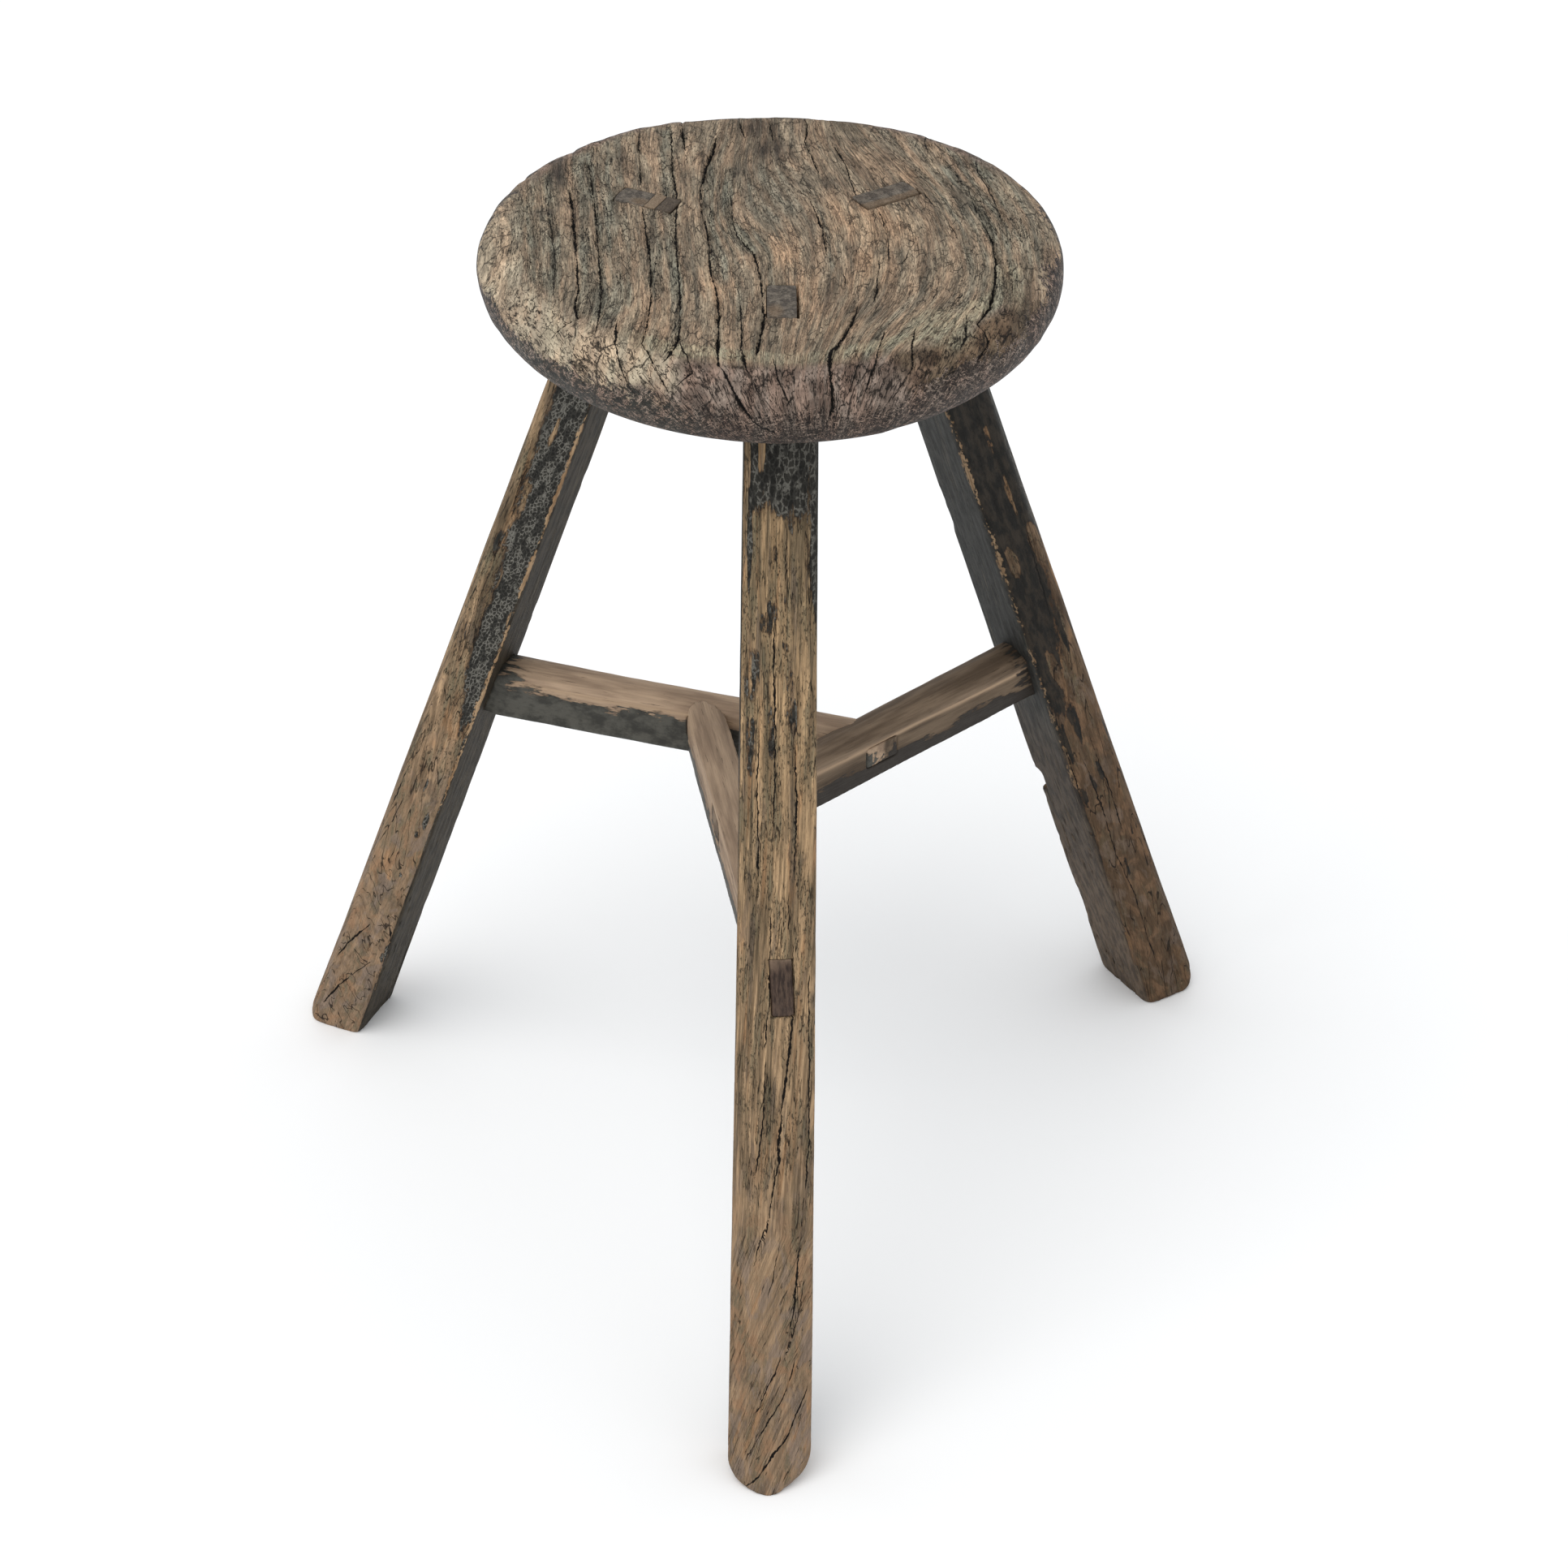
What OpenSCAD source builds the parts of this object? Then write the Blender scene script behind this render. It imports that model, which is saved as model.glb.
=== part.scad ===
// Three-legged wooden milking stool: a round plank seat, three splayed legs tenoned through it, and
// three stretchers that close a pinwheel, each one tenoned through its leg and through the next bar.
// Millimetres. +Z is up, the floor is Z = 0, the front leg points to -Y.

/* [Seat] */
// Height of the flat top of the seat above the floor
seat_h = 520; // [400:5:620]
// Diameter of the seat at its widest
seat_d = 261; // [220:1:340]
// Thickness of the seat plank
seat_t = 43; // [30:1:60]

/* [Legs] */
// Distance from the seat's middle to the middle of a tenon in the seat top
leg_top_r = 63.5; // [50:0.5:80]
// Width of a leg across its flat sides, at the seat top
leg_w = 33; // [26:0.5:42]
// How much wider the right leg is than the other two
right_leg_extra = 2.5; // [0:0.5:5]
// How much wider a leg is at the floor
leg_w_gain = 4; // [0:0.5:8]
// Depth of a leg from its flat inner face to the crown of its outer face, at the seat top
leg_d = 27.2; // [22:0.1:36]
// How much deeper a leg is at the floor
leg_d_gain = 3.2; // [0:0.1:6]
// Radius of the rounded outer face of a leg
leg_round_r = 27; // [20:1:60]
// Radius worn onto the side edges of a foot
foot_r = 11; // [4:1:15]
// Radius worn onto the outer edge of a foot
toe_r = 8; // [4:1:12]
// Thickness of the tenon that passes through the seat
seat_tenon_w = 13; // [9:0.5:18]

/* [Stretchers] */
// Height of the middle of the stretchers above the floor
bar_z = 233; // [150:1:330]
// Height of a stretcher from its underside to its crown
bar_h = 27; // [20:1:36]
// Width of a stretcher at its leg
bar_w_leg = 19; // [14:0.5:26]
// Width of a stretcher at its far end
bar_w_end = 17; // [12:0.5:24]
// Radius of the crowned top of a stretcher
bar_crown_r = 14; // [12:0.5:40]
// Distance at which a stretcher's middle line passes the middle of the stool
bar_pass = 24; // [18:0.5:40]
// Thickness of the upright tenon that passes through a leg
leg_tenon_w = 10.5; // [6:0.5:14]
// Height of the lying tenon that passes through the next stretcher
bar_tenon_h = 11; // [7:0.5:14]
// How far the scribed end of a stretcher stops short of the next one's crown line
scribe_gap = 4; // [2:0.5:7]

/* [Wedge] */
// Distance of the wedge from the middle of its tenon, negative toward the seat's middle
wedge_x = -4; // [-8:0.5:8]
// Thickness of the wedge at the seat top
wedge_t = 5.6; // [3:0.1:8]
// Thickness of the wedge at its tip
wedge_tip = 1.2; // [0.6:0.1:2]
// Depth that the wedge is driven to below the seat top
wedge_depth = 34; // [20:1:40]

/* [Fit] */
// Gap between the cheeks of a tenon and its mortise
fit = 0.1; // [0.05:0.01:0.3]

/* [Hidden] */
$fn = 96;
// The middle of the footprint sits at the origin; the seat's middle is moved by this much.
seat_x = -2.6;
seat_y = 57.1;
rim_r = seat_t / 2;
under_z = seat_h - seat_t;
FRONT = 0;
LEFT = 1;
RIGHT = 2;
// Directions of the tenons as seen from the seat's middle, hand-laid and not quite 120 degrees apart
tenon_az = [270.7, 148.8, 32.1];
// Directions in which the legs lean, and by how much from the vertical
lean_az = [267.1, 151.9, 29.8];
lean = [19.6, 19.1, 20.0];
leg_extra = [0, 0, right_leg_extra];
far = 400;

wood_seat = [0.42, 0.35, 0.29];
wood_leg = [0.30, 0.25, 0.20];
wood_bar = [0.38, 0.31, 0.25];
wood_wedge = [0.60, 0.45, 0.30];

function tenon_x(i) = leg_top_r * cos(tenon_az[i]);
function tenon_y(i) = leg_top_r * sin(tenon_az[i]);
// How far a leg has moved outward at height z
function lean_out(i, z) = (seat_h - z) * tan(lean[i]);
function axis_x(i, z) = tenon_x(i) + lean_out(i, z) * cos(lean_az[i]);
function axis_y(i, z) = tenon_y(i) + lean_out(i, z) * sin(lean_az[i]);
// The bar's leg end, its distance from the stool's middle, and the direction it runs in
function bar_start_r(i) = norm([axis_x(i, bar_z), axis_y(i, bar_z)]);
function bar_az(i) = atan2(-axis_y(i, bar_z), -axis_x(i, bar_z)) + asin(bar_pass / bar_start_r(i));
// The left leg's bar ends in the right one's, that one in the front one's, and that one in the left one's.
function next_bar(i) = i == LEFT ? RIGHT : (i == RIGHT ? FRONT : LEFT);
function previous_bar(i) = next_bar(next_bar(i));

// ---- legs -------------------------------------------------------------------------------------

// Puts a child drawn around a leg (X outward, Y across the leg, Z up from the floor, the tenon's
// middle at X = 0 in the seat top) into the stool.
module at_leg(i) {
    translate([seat_x + tenon_x(i), seat_y + tenon_y(i), 0])
        rotate([0, 0, lean_az[i]])
            children();
}

// Slanted slab between two lines of a leg's side view, each given by its distance from the leg's
// middle line in the seat top and at the floor
module lean_slab(i, in_top, in_floor, out_top, out_floor, z0, z1, w) {
    function x_at(top, floor_x, z) = top + (floor_x - top + lean_out(i, 0)) * (seat_h - z) / seat_h;
    rotate([90, 0, 0])
        translate([0, 0, -w / 2])
            linear_extrude(w)
                polygon([
                    [x_at(in_top, in_floor, z0), z0],
                    [x_at(out_top, out_floor, z0), z0],
                    [x_at(out_top, out_floor, z1), z1],
                    [x_at(in_top, in_floor, z1), z1]
                ]);
}

// End view of a leg: sides that draw in toward the seat, foot edges worn round, and on request the
// narrower tenon above its two shoulders
module leg_end_view(i, with_tenon) {
    top = (leg_w + leg_extra[i]) / 2;
    foot = top + leg_w_gain / 2;
    shoulder = top + leg_w_gain / 2 * seat_t / seat_h;
    difference() {
        union() {
            polygon([[-foot, 0], [foot, 0], [shoulder, under_z], [-shoulder, under_z]]);
            if (with_tenon)
                translate([-seat_tenon_w / 2, under_z - 10]) square([seat_tenon_w, seat_t + 10]);
        }
        for (s = [0, 1])
            mirror([s, 0])
                difference() {
                    translate([foot - foot_r, -1]) square(foot_r + 1);
                    translate([foot - foot_r, foot_r]) circle(foot_r);
                }
    }
}

// Side view of what is worn off the outer edge of a foot
module toe_wear(i) {
    outer_x = lean_out(i, 0) + (leg_d + leg_d_gain) / cos(lean[i]) / 2;
    mid_x = outer_x - toe_r * (1 + sin(lean[i])) / cos(lean[i]);
    touch_x = mid_x + toe_r * cos(lean[i]);
    touch_z = toe_r + toe_r * sin(lean[i]);
    difference() {
        polygon([
            [mid_x, -1],
            [outer_x + 20, -1],
            [outer_x + 20, touch_z],
            [touch_x, touch_z],
            [mid_x, toe_r]
        ]);
        translate([mid_x, toe_r]) circle(toe_r);
    }
}

// Leg before its mortise is cut, level at the floor; with or without the tenon for the seat
module leg_blank(i, with_tenon) {
    run_top = leg_d / cos(lean[i]) / 2;
    run_foot = (leg_d + leg_d_gain) / cos(lean[i]) / 2;
    slant = seat_h / cos(lean[i]);
    difference() {
        intersection() {
            lean_slab(i, -run_top, -run_foot, run_top + 9, run_foot + 9, 0, seat_h, 80);
            translate([-80, 0, 0])
                rotate([90, 0, 90])
                    linear_extrude(far)
                        leg_end_view(i, with_tenon);
            translate([0, 0, seat_h])
                rotate([0, -lean[i], 0])
                    translate([leg_d / 2 - leg_round_r, 0, -slant - 20])
                        cylinder(
                            h = slant + 40,
                            r1 = leg_round_r + leg_d_gain / 2,
                            r2 = leg_round_r
                        );
        }
        rotate([90, 0, 0])
            translate([0, 0, -40])
                linear_extrude(80)
                    toe_wear(i);
    }
}

// The mortise in the seat, a gap wider than the tenon all round
module seat_mortise(i) {
    run = leg_d / cos(lean[i]) / 2 + fit;
    gain = leg_d_gain / cos(lean[i]) / 2;
    lean_slab(i, -run, -run - gain, run, run + gain, under_z - 2, seat_h + 2, seat_tenon_w + 2 * fit);
}

module leg(i) {
    difference() {
        at_leg(i) leg_blank(i, true);
        leg_tenon(i, fit);
    }
}

module leg_front() {
    color(wood_leg) leg(FRONT);
}

module leg_left() {
    color(wood_leg)
        difference() {
            leg(LEFT);
            wedge_shape(seat_tenon_w + 10);
        }
}

module leg_right() {
    color(wood_leg) leg(RIGHT);
}

// ---- wedge ------------------------------------------------------------------------------------

// Thin wedge across the left leg's tenon, driven down along the leg's lean
module wedge_shape(w) {
    deep_x = wedge_x + wedge_depth * tan(lean[LEFT]);
    at_leg(LEFT)
        rotate([90, 0, 0])
            translate([0, 0, -w / 2])
                linear_extrude(w)
                    polygon([
                        [wedge_x - wedge_t / 2, seat_h],
                        [wedge_x + wedge_t / 2, seat_h],
                        [deep_x + wedge_tip / 2, seat_h - wedge_depth],
                        [deep_x - wedge_tip / 2, seat_h - wedge_depth]
                    ]);
}

module seat_wedge() {
    color(wood_wedge) wedge_shape(seat_tenon_w);
}

// ---- seat -------------------------------------------------------------------------------------

// Half section of the plank: flat top and underside, fully rounded rim
module seat_profile() {
    flat_r = seat_d / 2 - rim_r;
    translate([0, under_z]) square([flat_r, seat_t]);
    intersection() {
        translate([flat_r, under_z + rim_r]) circle(rim_r);
        translate([flat_r - 1, under_z]) square([rim_r + 2, seat_t]);
    }
}

module seat() {
    color(wood_seat)
        difference() {
            translate([seat_x, seat_y, 0]) rotate_extrude() seat_profile();
            for (i = [FRONT, LEFT, RIGHT])
                at_leg(i) seat_mortise(i);
        }
}

// ---- stretchers -------------------------------------------------------------------------------

// Puts a child drawn along a bar (X along it, Y = 0 its middle line, the stool's middle at X = 0)
// into the stool.
module at_bar(i) {
    translate([seat_x, seat_y, bar_z])
        rotate([0, 0, bar_az(i)])
            translate([0, bar_pass, 0])
                children();
}

// Section of a bar: upright sides and a crowned top; deeper by drop below its underside
module bar_section(drop) {
    crown_z = bar_h / 2 - bar_crown_r;
    translate([-bar_crown_r, -bar_h / 2 - drop])
        square([2 * bar_crown_r, bar_h / 2 + drop + crown_z]);
    intersection() {
        translate([0, crown_z]) circle(bar_crown_r);
        translate([-bar_crown_r, crown_z - 1]) square([2 * bar_crown_r, bar_crown_r + 2]);
    }
}

// Bar between two distances along its line, drawing in a little toward its far end
module bar_blank(i, x0, x1, drop) {
    leg_x = -bar_start_r(i);
    function half_w(x) = (bar_w_leg + (bar_w_end - bar_w_leg) * (x - leg_x) / (bar_pass - leg_x)) / 2;
    at_bar(i)
        intersection() {
            translate([0, 0, -2 * bar_h])
                linear_extrude(4 * bar_h)
                    polygon([[x0, -half_w(x0)], [x1, -half_w(x1)], [x1, half_w(x1)], [x0, half_w(x0)]]);
            translate([x0 - 1, 0, 0])
                rotate([90, 0, 90])
                    linear_extrude(x1 - x0 + 2)
                        bar_section(drop);
        }
}

// Upright tenon through the leg. With a gap, the mortise that takes it.
module leg_tenon(i, gap) {
    at_bar(i)
        translate([-bar_start_r(i) - 40, -leg_tenon_w / 2 - gap, -bar_h / 2 - gap])
            cube([80, leg_tenon_w + 2 * gap, bar_h - 1.2 + 2 * gap]);
}

// Lying tenon through the next bar. With a gap, the mortise that takes it.
module bar_tenon(i, gap) {
    at_bar(i)
        translate([10, -bar_w_end / 2 - gap, -bar_tenon_h / 2 - gap])
            cube([60, bar_w_end + 2 * gap, bar_tenon_h + 2 * gap]);
}

// The bar between its shoulders. Its far end is scribed over the next bar's crown.
module bar_body(i) {
    n = next_bar(i);
    difference() {
        intersection() {
            bar_blank(i, -bar_start_r(i), 50, 0);
            at_bar(n)
                translate([-far / 2, -far - scribe_gap, -bar_h])
                    cube([far, far, 2 * bar_h]);
        }
        at_leg(i) leg_blank(i, false);
        bar_blank(n, -bar_start_r(n), 40, 10);
    }
}

module stretcher(i) {
    n = next_bar(i);
    difference() {
        union() {
            bar_body(i);
            intersection() {
                leg_tenon(i, 0);
                union() {
                    at_leg(i) leg_blank(i, false);
                    at_bar(i)
                        translate([-bar_start_r(i), -bar_h, -bar_h])
                            cube([30, 2 * bar_h, 2 * bar_h]);
                }
            }
            intersection() {
                bar_tenon(i, 0);
                bar_blank(n, -bar_start_r(n), 40, 0);
            }
        }
        bar_tenon(previous_bar(i), fit);
    }
}

module stretcher_front() {
    color(wood_bar) stretcher(FRONT);
}

module stretcher_left() {
    color(wood_bar) stretcher(LEFT);
}

module stretcher_right() {
    color(wood_bar) stretcher(RIGHT);
}

seat();
leg_front();
leg_left();
leg_right();
stretcher_front();
stretcher_left();
stretcher_right();
seat_wedge();
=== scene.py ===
"""Looks of an old three-legged wooden milking stool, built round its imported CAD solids.

The seat, legs, stretchers and wedge are dense meshes that stand for the plain solids: ring relief,
drying cracks, worn arrises and foot ends are in the geometry, and pores, crackled lacquer and
colour come from procedural materials that read each point's place in the wood.
Millimetres in a stool frame (X right, Y back, Z up, origin on the floor under the seat's middle),
turned into metres in the row frame when a mesh is made.
"""
import math

import bmesh
import bpy
import numpy as np
from mathutils import Matrix, Vector


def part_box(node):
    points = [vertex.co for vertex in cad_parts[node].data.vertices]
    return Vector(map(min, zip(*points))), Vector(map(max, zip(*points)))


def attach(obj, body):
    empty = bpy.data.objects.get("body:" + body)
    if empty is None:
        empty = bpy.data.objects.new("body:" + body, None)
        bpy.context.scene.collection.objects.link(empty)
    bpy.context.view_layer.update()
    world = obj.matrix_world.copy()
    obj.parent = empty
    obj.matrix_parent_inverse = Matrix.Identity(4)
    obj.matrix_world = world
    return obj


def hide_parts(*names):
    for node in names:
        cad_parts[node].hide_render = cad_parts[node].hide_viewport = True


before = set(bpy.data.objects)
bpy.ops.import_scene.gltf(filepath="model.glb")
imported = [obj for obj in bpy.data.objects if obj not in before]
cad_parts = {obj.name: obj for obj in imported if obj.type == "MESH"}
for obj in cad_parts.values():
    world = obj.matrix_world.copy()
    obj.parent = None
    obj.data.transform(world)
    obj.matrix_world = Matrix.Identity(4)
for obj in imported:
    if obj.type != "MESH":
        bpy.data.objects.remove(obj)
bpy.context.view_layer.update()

# ---- sizes shared with the CAD solids ------------------------------------------------------------

MM = 0.001
FRONT, LEFT, RIGHT = 0, 1, 2
SIDE_NAMES = ("front", "left", "right")
seat_low, seat_high = (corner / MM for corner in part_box("seat"))
SEAT_X = (seat_low.x + seat_high.x) / 2
SEAT_Y = (seat_low.y + seat_high.y) / 2
SEAT_H = seat_high.z
UNDER_Z = seat_low.z
SEAT_R = (seat_high.x - seat_low.x) / 2
# In degrees: directions of the tenons from the seat's middle, those in which the legs lean, and their
# lean from the vertical
TENON_AZ = (270.7, 148.8, 32.1)
LEAN_AZ = (267.1, 151.9, 29.8)
LEAN = (19.6, 19.1, 20.0)
# Distance from the seat's middle to the middle of a tenon in the seat top
LEG_TOP_R = 63.5
# Width, depth and crown radius of a leg's section at the seat top, and what each gains down to the floor
LEG_W = (33.0, 33.0, 35.5)
LEG_W_GAIN = 4.0
LEG_D = 27.2
LEG_D_GAIN = 3.2
CROWN_R = 27.0
CROWN_GAIN = 1.6
# Thickness of the tenon through the seat, and of the stretcher's tenon through a leg
TENON_W = 13.0
LEG_TENON_W = 10.5
# Height of the stretchers' middle lines, and the distance at which they pass the stool's middle
BAR_Z = 233.0
BAR_PASS = 24.0
# The wedge: its distance from the middle of its tenon, negative toward the seat's middle, its thickness
# at the seat top and at its tip, and its depth
WEDGE_X = -4.0
WEDGE_T = 5.6
WEDGE_TIP = 1.2
WEDGE_DEPTH = 34.0


def cosd(angle):
    return math.cos(math.radians(angle))


def sind(angle):
    return math.sin(math.radians(angle))


def lean_out(i, z):
    """How far leg i has moved outward at height z."""
    return (SEAT_H - z) * math.tan(math.radians(LEAN[i]))


def splay(i, out, b):
    """(x, y) at a distance out along leg i's lean from its place in the seat top, and b across it."""
    x = LEG_TOP_R * cosd(TENON_AZ[i]) + out * cosd(LEAN_AZ[i]) - b * sind(LEAN_AZ[i])
    y = LEG_TOP_R * sind(TENON_AZ[i]) + out * sind(LEAN_AZ[i]) + b * cosd(LEAN_AZ[i])
    return x, y


def leg_axis(i, z):
    """Middle of leg i at height z."""
    return splay(i, lean_out(i, z), 0)


def bar_start(i):
    """Distance of bar i's leg end from the stool's middle."""
    return math.hypot(*leg_axis(i, BAR_Z))


def bar_az(i):
    """Direction in which bar i runs from its leg."""
    x, y = leg_axis(i, BAR_Z)
    return math.degrees(math.atan2(-y, -x) + math.asin(BAR_PASS / bar_start(i)))


# ---- camera, light and floor ---------------------------------------------------------------------

# The photo's viewpoint in stool-frame mm, its roll in degrees, and its lens for a 36 mm wide sensor
CAMERA_AT = (-114.9, -1834.9, 1502.5)
CAMERA_AIM = (9.15, 0.0, 218.3)
CAMERA_ROLL = 0.841
CAMERA_LENS = 106.26


def row_point(x, y, z):
    """A stool-frame point in metres in the row frame."""
    return Vector(((x + SEAT_X) * MM, (y + SEAT_Y) * MM, z * MM))


def make_camera():
    camera = bpy.data.objects.new("camera", bpy.data.cameras.new("camera"))
    bpy.context.scene.collection.objects.link(camera)
    camera.data.lens = CAMERA_LENS
    camera.data.sensor_width = 36
    camera.location = row_point(*CAMERA_AT)
    look = row_point(*CAMERA_AIM) - camera.location
    camera.rotation_mode = "QUATERNION"
    roll = Matrix.Rotation(math.radians(CAMERA_ROLL), 3, "Z")
    camera.rotation_quaternion = (look.to_track_quat("-Z", "Y").to_matrix() @ roll).to_quaternion()
    bpy.context.scene.camera = camera


def sun(name, place, strength, spread):
    """A soft light that falls evenly from the direction of place."""
    lamp = bpy.data.lights.new(name, "SUN")
    lamp.energy = strength
    lamp.angle = math.radians(spread)
    lamp.color = (1.0, 0.985, 0.965)
    light = bpy.data.objects.new(name, lamp)
    bpy.context.scene.collection.objects.link(light)
    light.location = place
    light.rotation_euler = (-Vector(place)).to_track_quat("-Z", "Y").to_euler()


def make_studio():
    world = bpy.data.worlds.new("studio")
    bpy.context.scene.world = world
    world.use_nodes = True
    world.node_tree.nodes["Background"].inputs["Color"].default_value = (0.96, 0.98, 1.0, 1.0)
    world.node_tree.nodes["Background"].inputs["Strength"].default_value = 0.86
    sun("key", (-1.0, -1.1, 2.6), 1.15, 50)
    mesh = bpy.data.meshes.new("floor")
    reach = 20
    corners = [(-reach, -reach, 0), (reach, -reach, 0), (reach, reach, 0), (-reach, reach, 0)]
    mesh.from_pydata(corners, [], [(0, 1, 2, 3)])
    floor = bpy.data.objects.new("floor", mesh)
    bpy.context.scene.collection.objects.link(floor)
    paper = bpy.data.materials.new("floor_paper")
    paper.use_nodes = True
    shader = paper.node_tree.nodes["Principled BSDF"]
    shader.inputs["Base Color"].default_value = (0.95, 0.95, 0.95, 1)
    shader.inputs["Roughness"].default_value = 0.9
    mesh.materials.append(paper)
    bpy.context.scene.view_settings.view_transform = "Standard"


# ---- noise and small curves, in numpy ------------------------------------------------------------


def lattice(ix, iy, iz, seed):
    """A fixed pseudo-random number from -1 to 1 for each whole-number place."""
    mixed = ((ix * 73856093) ^ (iy * 19349663) ^ (iz * 83492791) ^ (seed * 15485863)) & 0xFFFFFFFF
    mixed = ((mixed ^ (mixed >> 13)) * 1274126177) & 0xFFFFFFFF
    mixed = ((mixed ^ (mixed >> 15)) * 668265263) & 0xFFFFFFFF
    return (mixed ^ (mixed >> 16)) / 0xFFFFFFFF * 2 - 1


def noise(points, size, seed):
    """Smooth noise from -1 to 1. size is one number or one for each axis, in the points' units."""
    place = points / np.asarray(size, float)
    cell = np.floor(place).astype(np.int64)
    t = place - cell
    t = t * t * (3 - 2 * t)
    total = np.zeros(len(points))
    for dx in (0, 1):
        for dy in (0, 1):
            for dz in (0, 1):
                corner = lattice(cell[:, 0] + dx, cell[:, 1] + dy, cell[:, 2] + dz, seed)
                weight = np.abs(1 - dx - t[:, 0]) * np.abs(1 - dy - t[:, 1]) * np.abs(1 - dz - t[:, 2])
                total += corner * weight
    return total


def layered(points, size, seed, layers=3):
    """Noise with finer and fainter layers on top."""
    size = np.asarray(size, float)
    total = sum(noise(points, size / 2**k, seed + k) / 2**k for k in range(layers))
    return total / sum(0.5**k for k in range(layers))


def smooth(value, low, high):
    """0 at low, 1 at high, smooth between; low may be above high."""
    t = np.clip((value - low) / (high - low), 0, 1)
    return t * t * (3 - 2 * t)


def window(value, low, high, soft):
    """1 between low and high, fading over soft outside them."""
    return smooth(value, low - soft, low) * smooth(value, high + soft, high)


# ---- meshes --------------------------------------------------------------------------------------


def make_object(name, points, faces):
    """A smooth-shaded mesh from stool-frame points in mm."""
    mesh = bpy.data.meshes.new(name)
    place = (np.asarray(points) + (SEAT_X, SEAT_Y, 0)) * MM
    mesh.from_pydata(place.tolist(), [], faces)
    mesh.update()
    piece = bpy.data.objects.new(name, mesh)
    bpy.context.scene.collection.objects.link(piece)
    return piece


def fix_normals(piece):
    work = bmesh.new()
    work.from_mesh(piece.data)
    bmesh.ops.recalc_face_normals(work, faces=work.faces)
    work.to_mesh(piece.data)
    work.free()


def points_of(piece):
    """Vertex places in stool-frame mm."""
    flat = np.zeros(len(piece.data.vertices) * 3, np.float32)
    piece.data.vertices.foreach_get("co", flat)
    return flat.reshape(-1, 3).astype(float) / MM - (SEAT_X, SEAT_Y, 0)


def normals_of(piece):
    flat = np.zeros(len(piece.data.vertices) * 3, np.float32)
    piece.data.vertex_normals.foreach_get("vector", flat)
    return flat.reshape(-1, 3).astype(float)


def set_points(piece, points):
    place = (points + (SEAT_X, SEAT_Y, 0)) * MM
    piece.data.vertices.foreach_set("co", place.astype(np.float32).ravel())
    piece.data.update()


def store(piece, **fields):
    """Stores one number, or three, for each vertex under each field's name."""
    for name, values in fields.items():
        values = np.asarray(values, np.float32)
        kind, key = ("FLOAT", "value") if values.ndim == 1 else ("FLOAT_VECTOR", "vector")
        piece.data.attributes.new(name, kind, "POINT").data.foreach_set(key, values.ravel())


def baked(piece):
    """Applies the piece's modifiers."""
    graph = bpy.context.evaluated_depsgraph_get()
    mesh = bpy.data.meshes.new_from_object(piece.evaluated_get(graph))
    old = piece.data
    piece.modifiers.clear()
    piece.data = mesh
    mesh.name = piece.name
    bpy.data.meshes.remove(old)


def cut(piece, *cutters):
    """Takes the cutters out of the piece and removes them."""
    for cutter in cutters:
        fix_normals(cutter)
        step = piece.modifiers.new("cut", "BOOLEAN")
        step.operation = "DIFFERENCE"
        step.solver = "MANIFOLD"
        step.object = cutter
    baked(piece)
    for cutter in cutters:
        bpy.data.objects.remove(cutter)


def finish_piece(piece, material, slot, *nodes):
    """Shades the piece, and has it stand for its CAD nodes."""
    piece.data.materials.clear()
    piece.data.materials.append(material)
    piece.data.polygons.foreach_set("use_smooth", np.ones(len(piece.data.polygons), bool))
    piece.data.update()
    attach(piece, "root")
    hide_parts(*nodes)


def loft(rings):
    """Quads between closed rings of equal length."""
    count = len(rings[0])
    following = np.roll(np.arange(count), -1)
    quads = []
    for k in range(len(rings) - 1):
        here, above = k * count, (k + 1) * count
        rows = np.stack(
            [here + np.arange(count), here + following, above + following, above + np.arange(count)], 1
        )
        quads.append(rows)
    return np.concatenate(rings), np.concatenate(quads).tolist()


BOX_FACES = [(0, 1, 2, 3), (7, 6, 5, 4), (0, 4, 5, 1), (1, 5, 6, 2), (2, 6, 7, 3), (3, 7, 4, 0)]


def leg_place(i, a, b, z):
    """Stool-frame points from leg coordinates: a outward across the leg's depth, b across it."""
    a, b, z = np.broadcast_arrays(np.asarray(a, float), b, z)
    x, y = splay(i, lean_out(i, z) + a / cosd(LEAN[i]), b)
    return np.stack([x, y, z], -1)


def leg_coordinates(i, points):
    """(a, b, z) of stool-frame points."""
    dx = points[:, 0] - LEG_TOP_R * cosd(TENON_AZ[i])
    dy = points[:, 1] - LEG_TOP_R * sind(TENON_AZ[i])
    out = dx * cosd(LEAN_AZ[i]) + dy * sind(LEAN_AZ[i])
    b = -dx * sind(LEAN_AZ[i]) + dy * cosd(LEAN_AZ[i])
    z = points[:, 2]
    return (out - lean_out(i, z)) * cosd(LEAN[i]), b, z


def bar_place(i, along, across, up):
    """Stool-frame points from bar coordinates: along the bar, 0 beside the stool's middle."""
    turn = bar_az(i)
    across = across + BAR_PASS
    x = along * cosd(turn) - across * sind(turn)
    y = along * sind(turn) + across * cosd(turn)
    return np.stack(np.broadcast_arrays(x, y, up + BAR_Z), -1)


def bar_coordinates(i, points):
    """(along, across, up) of stool-frame points."""
    turn = bar_az(i)
    along = points[:, 0] * cosd(turn) + points[:, 1] * sind(turn)
    across = -points[:, 0] * sind(turn) + points[:, 1] * cosd(turn) - BAR_PASS
    return along, across, points[:, 2] - BAR_Z


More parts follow.
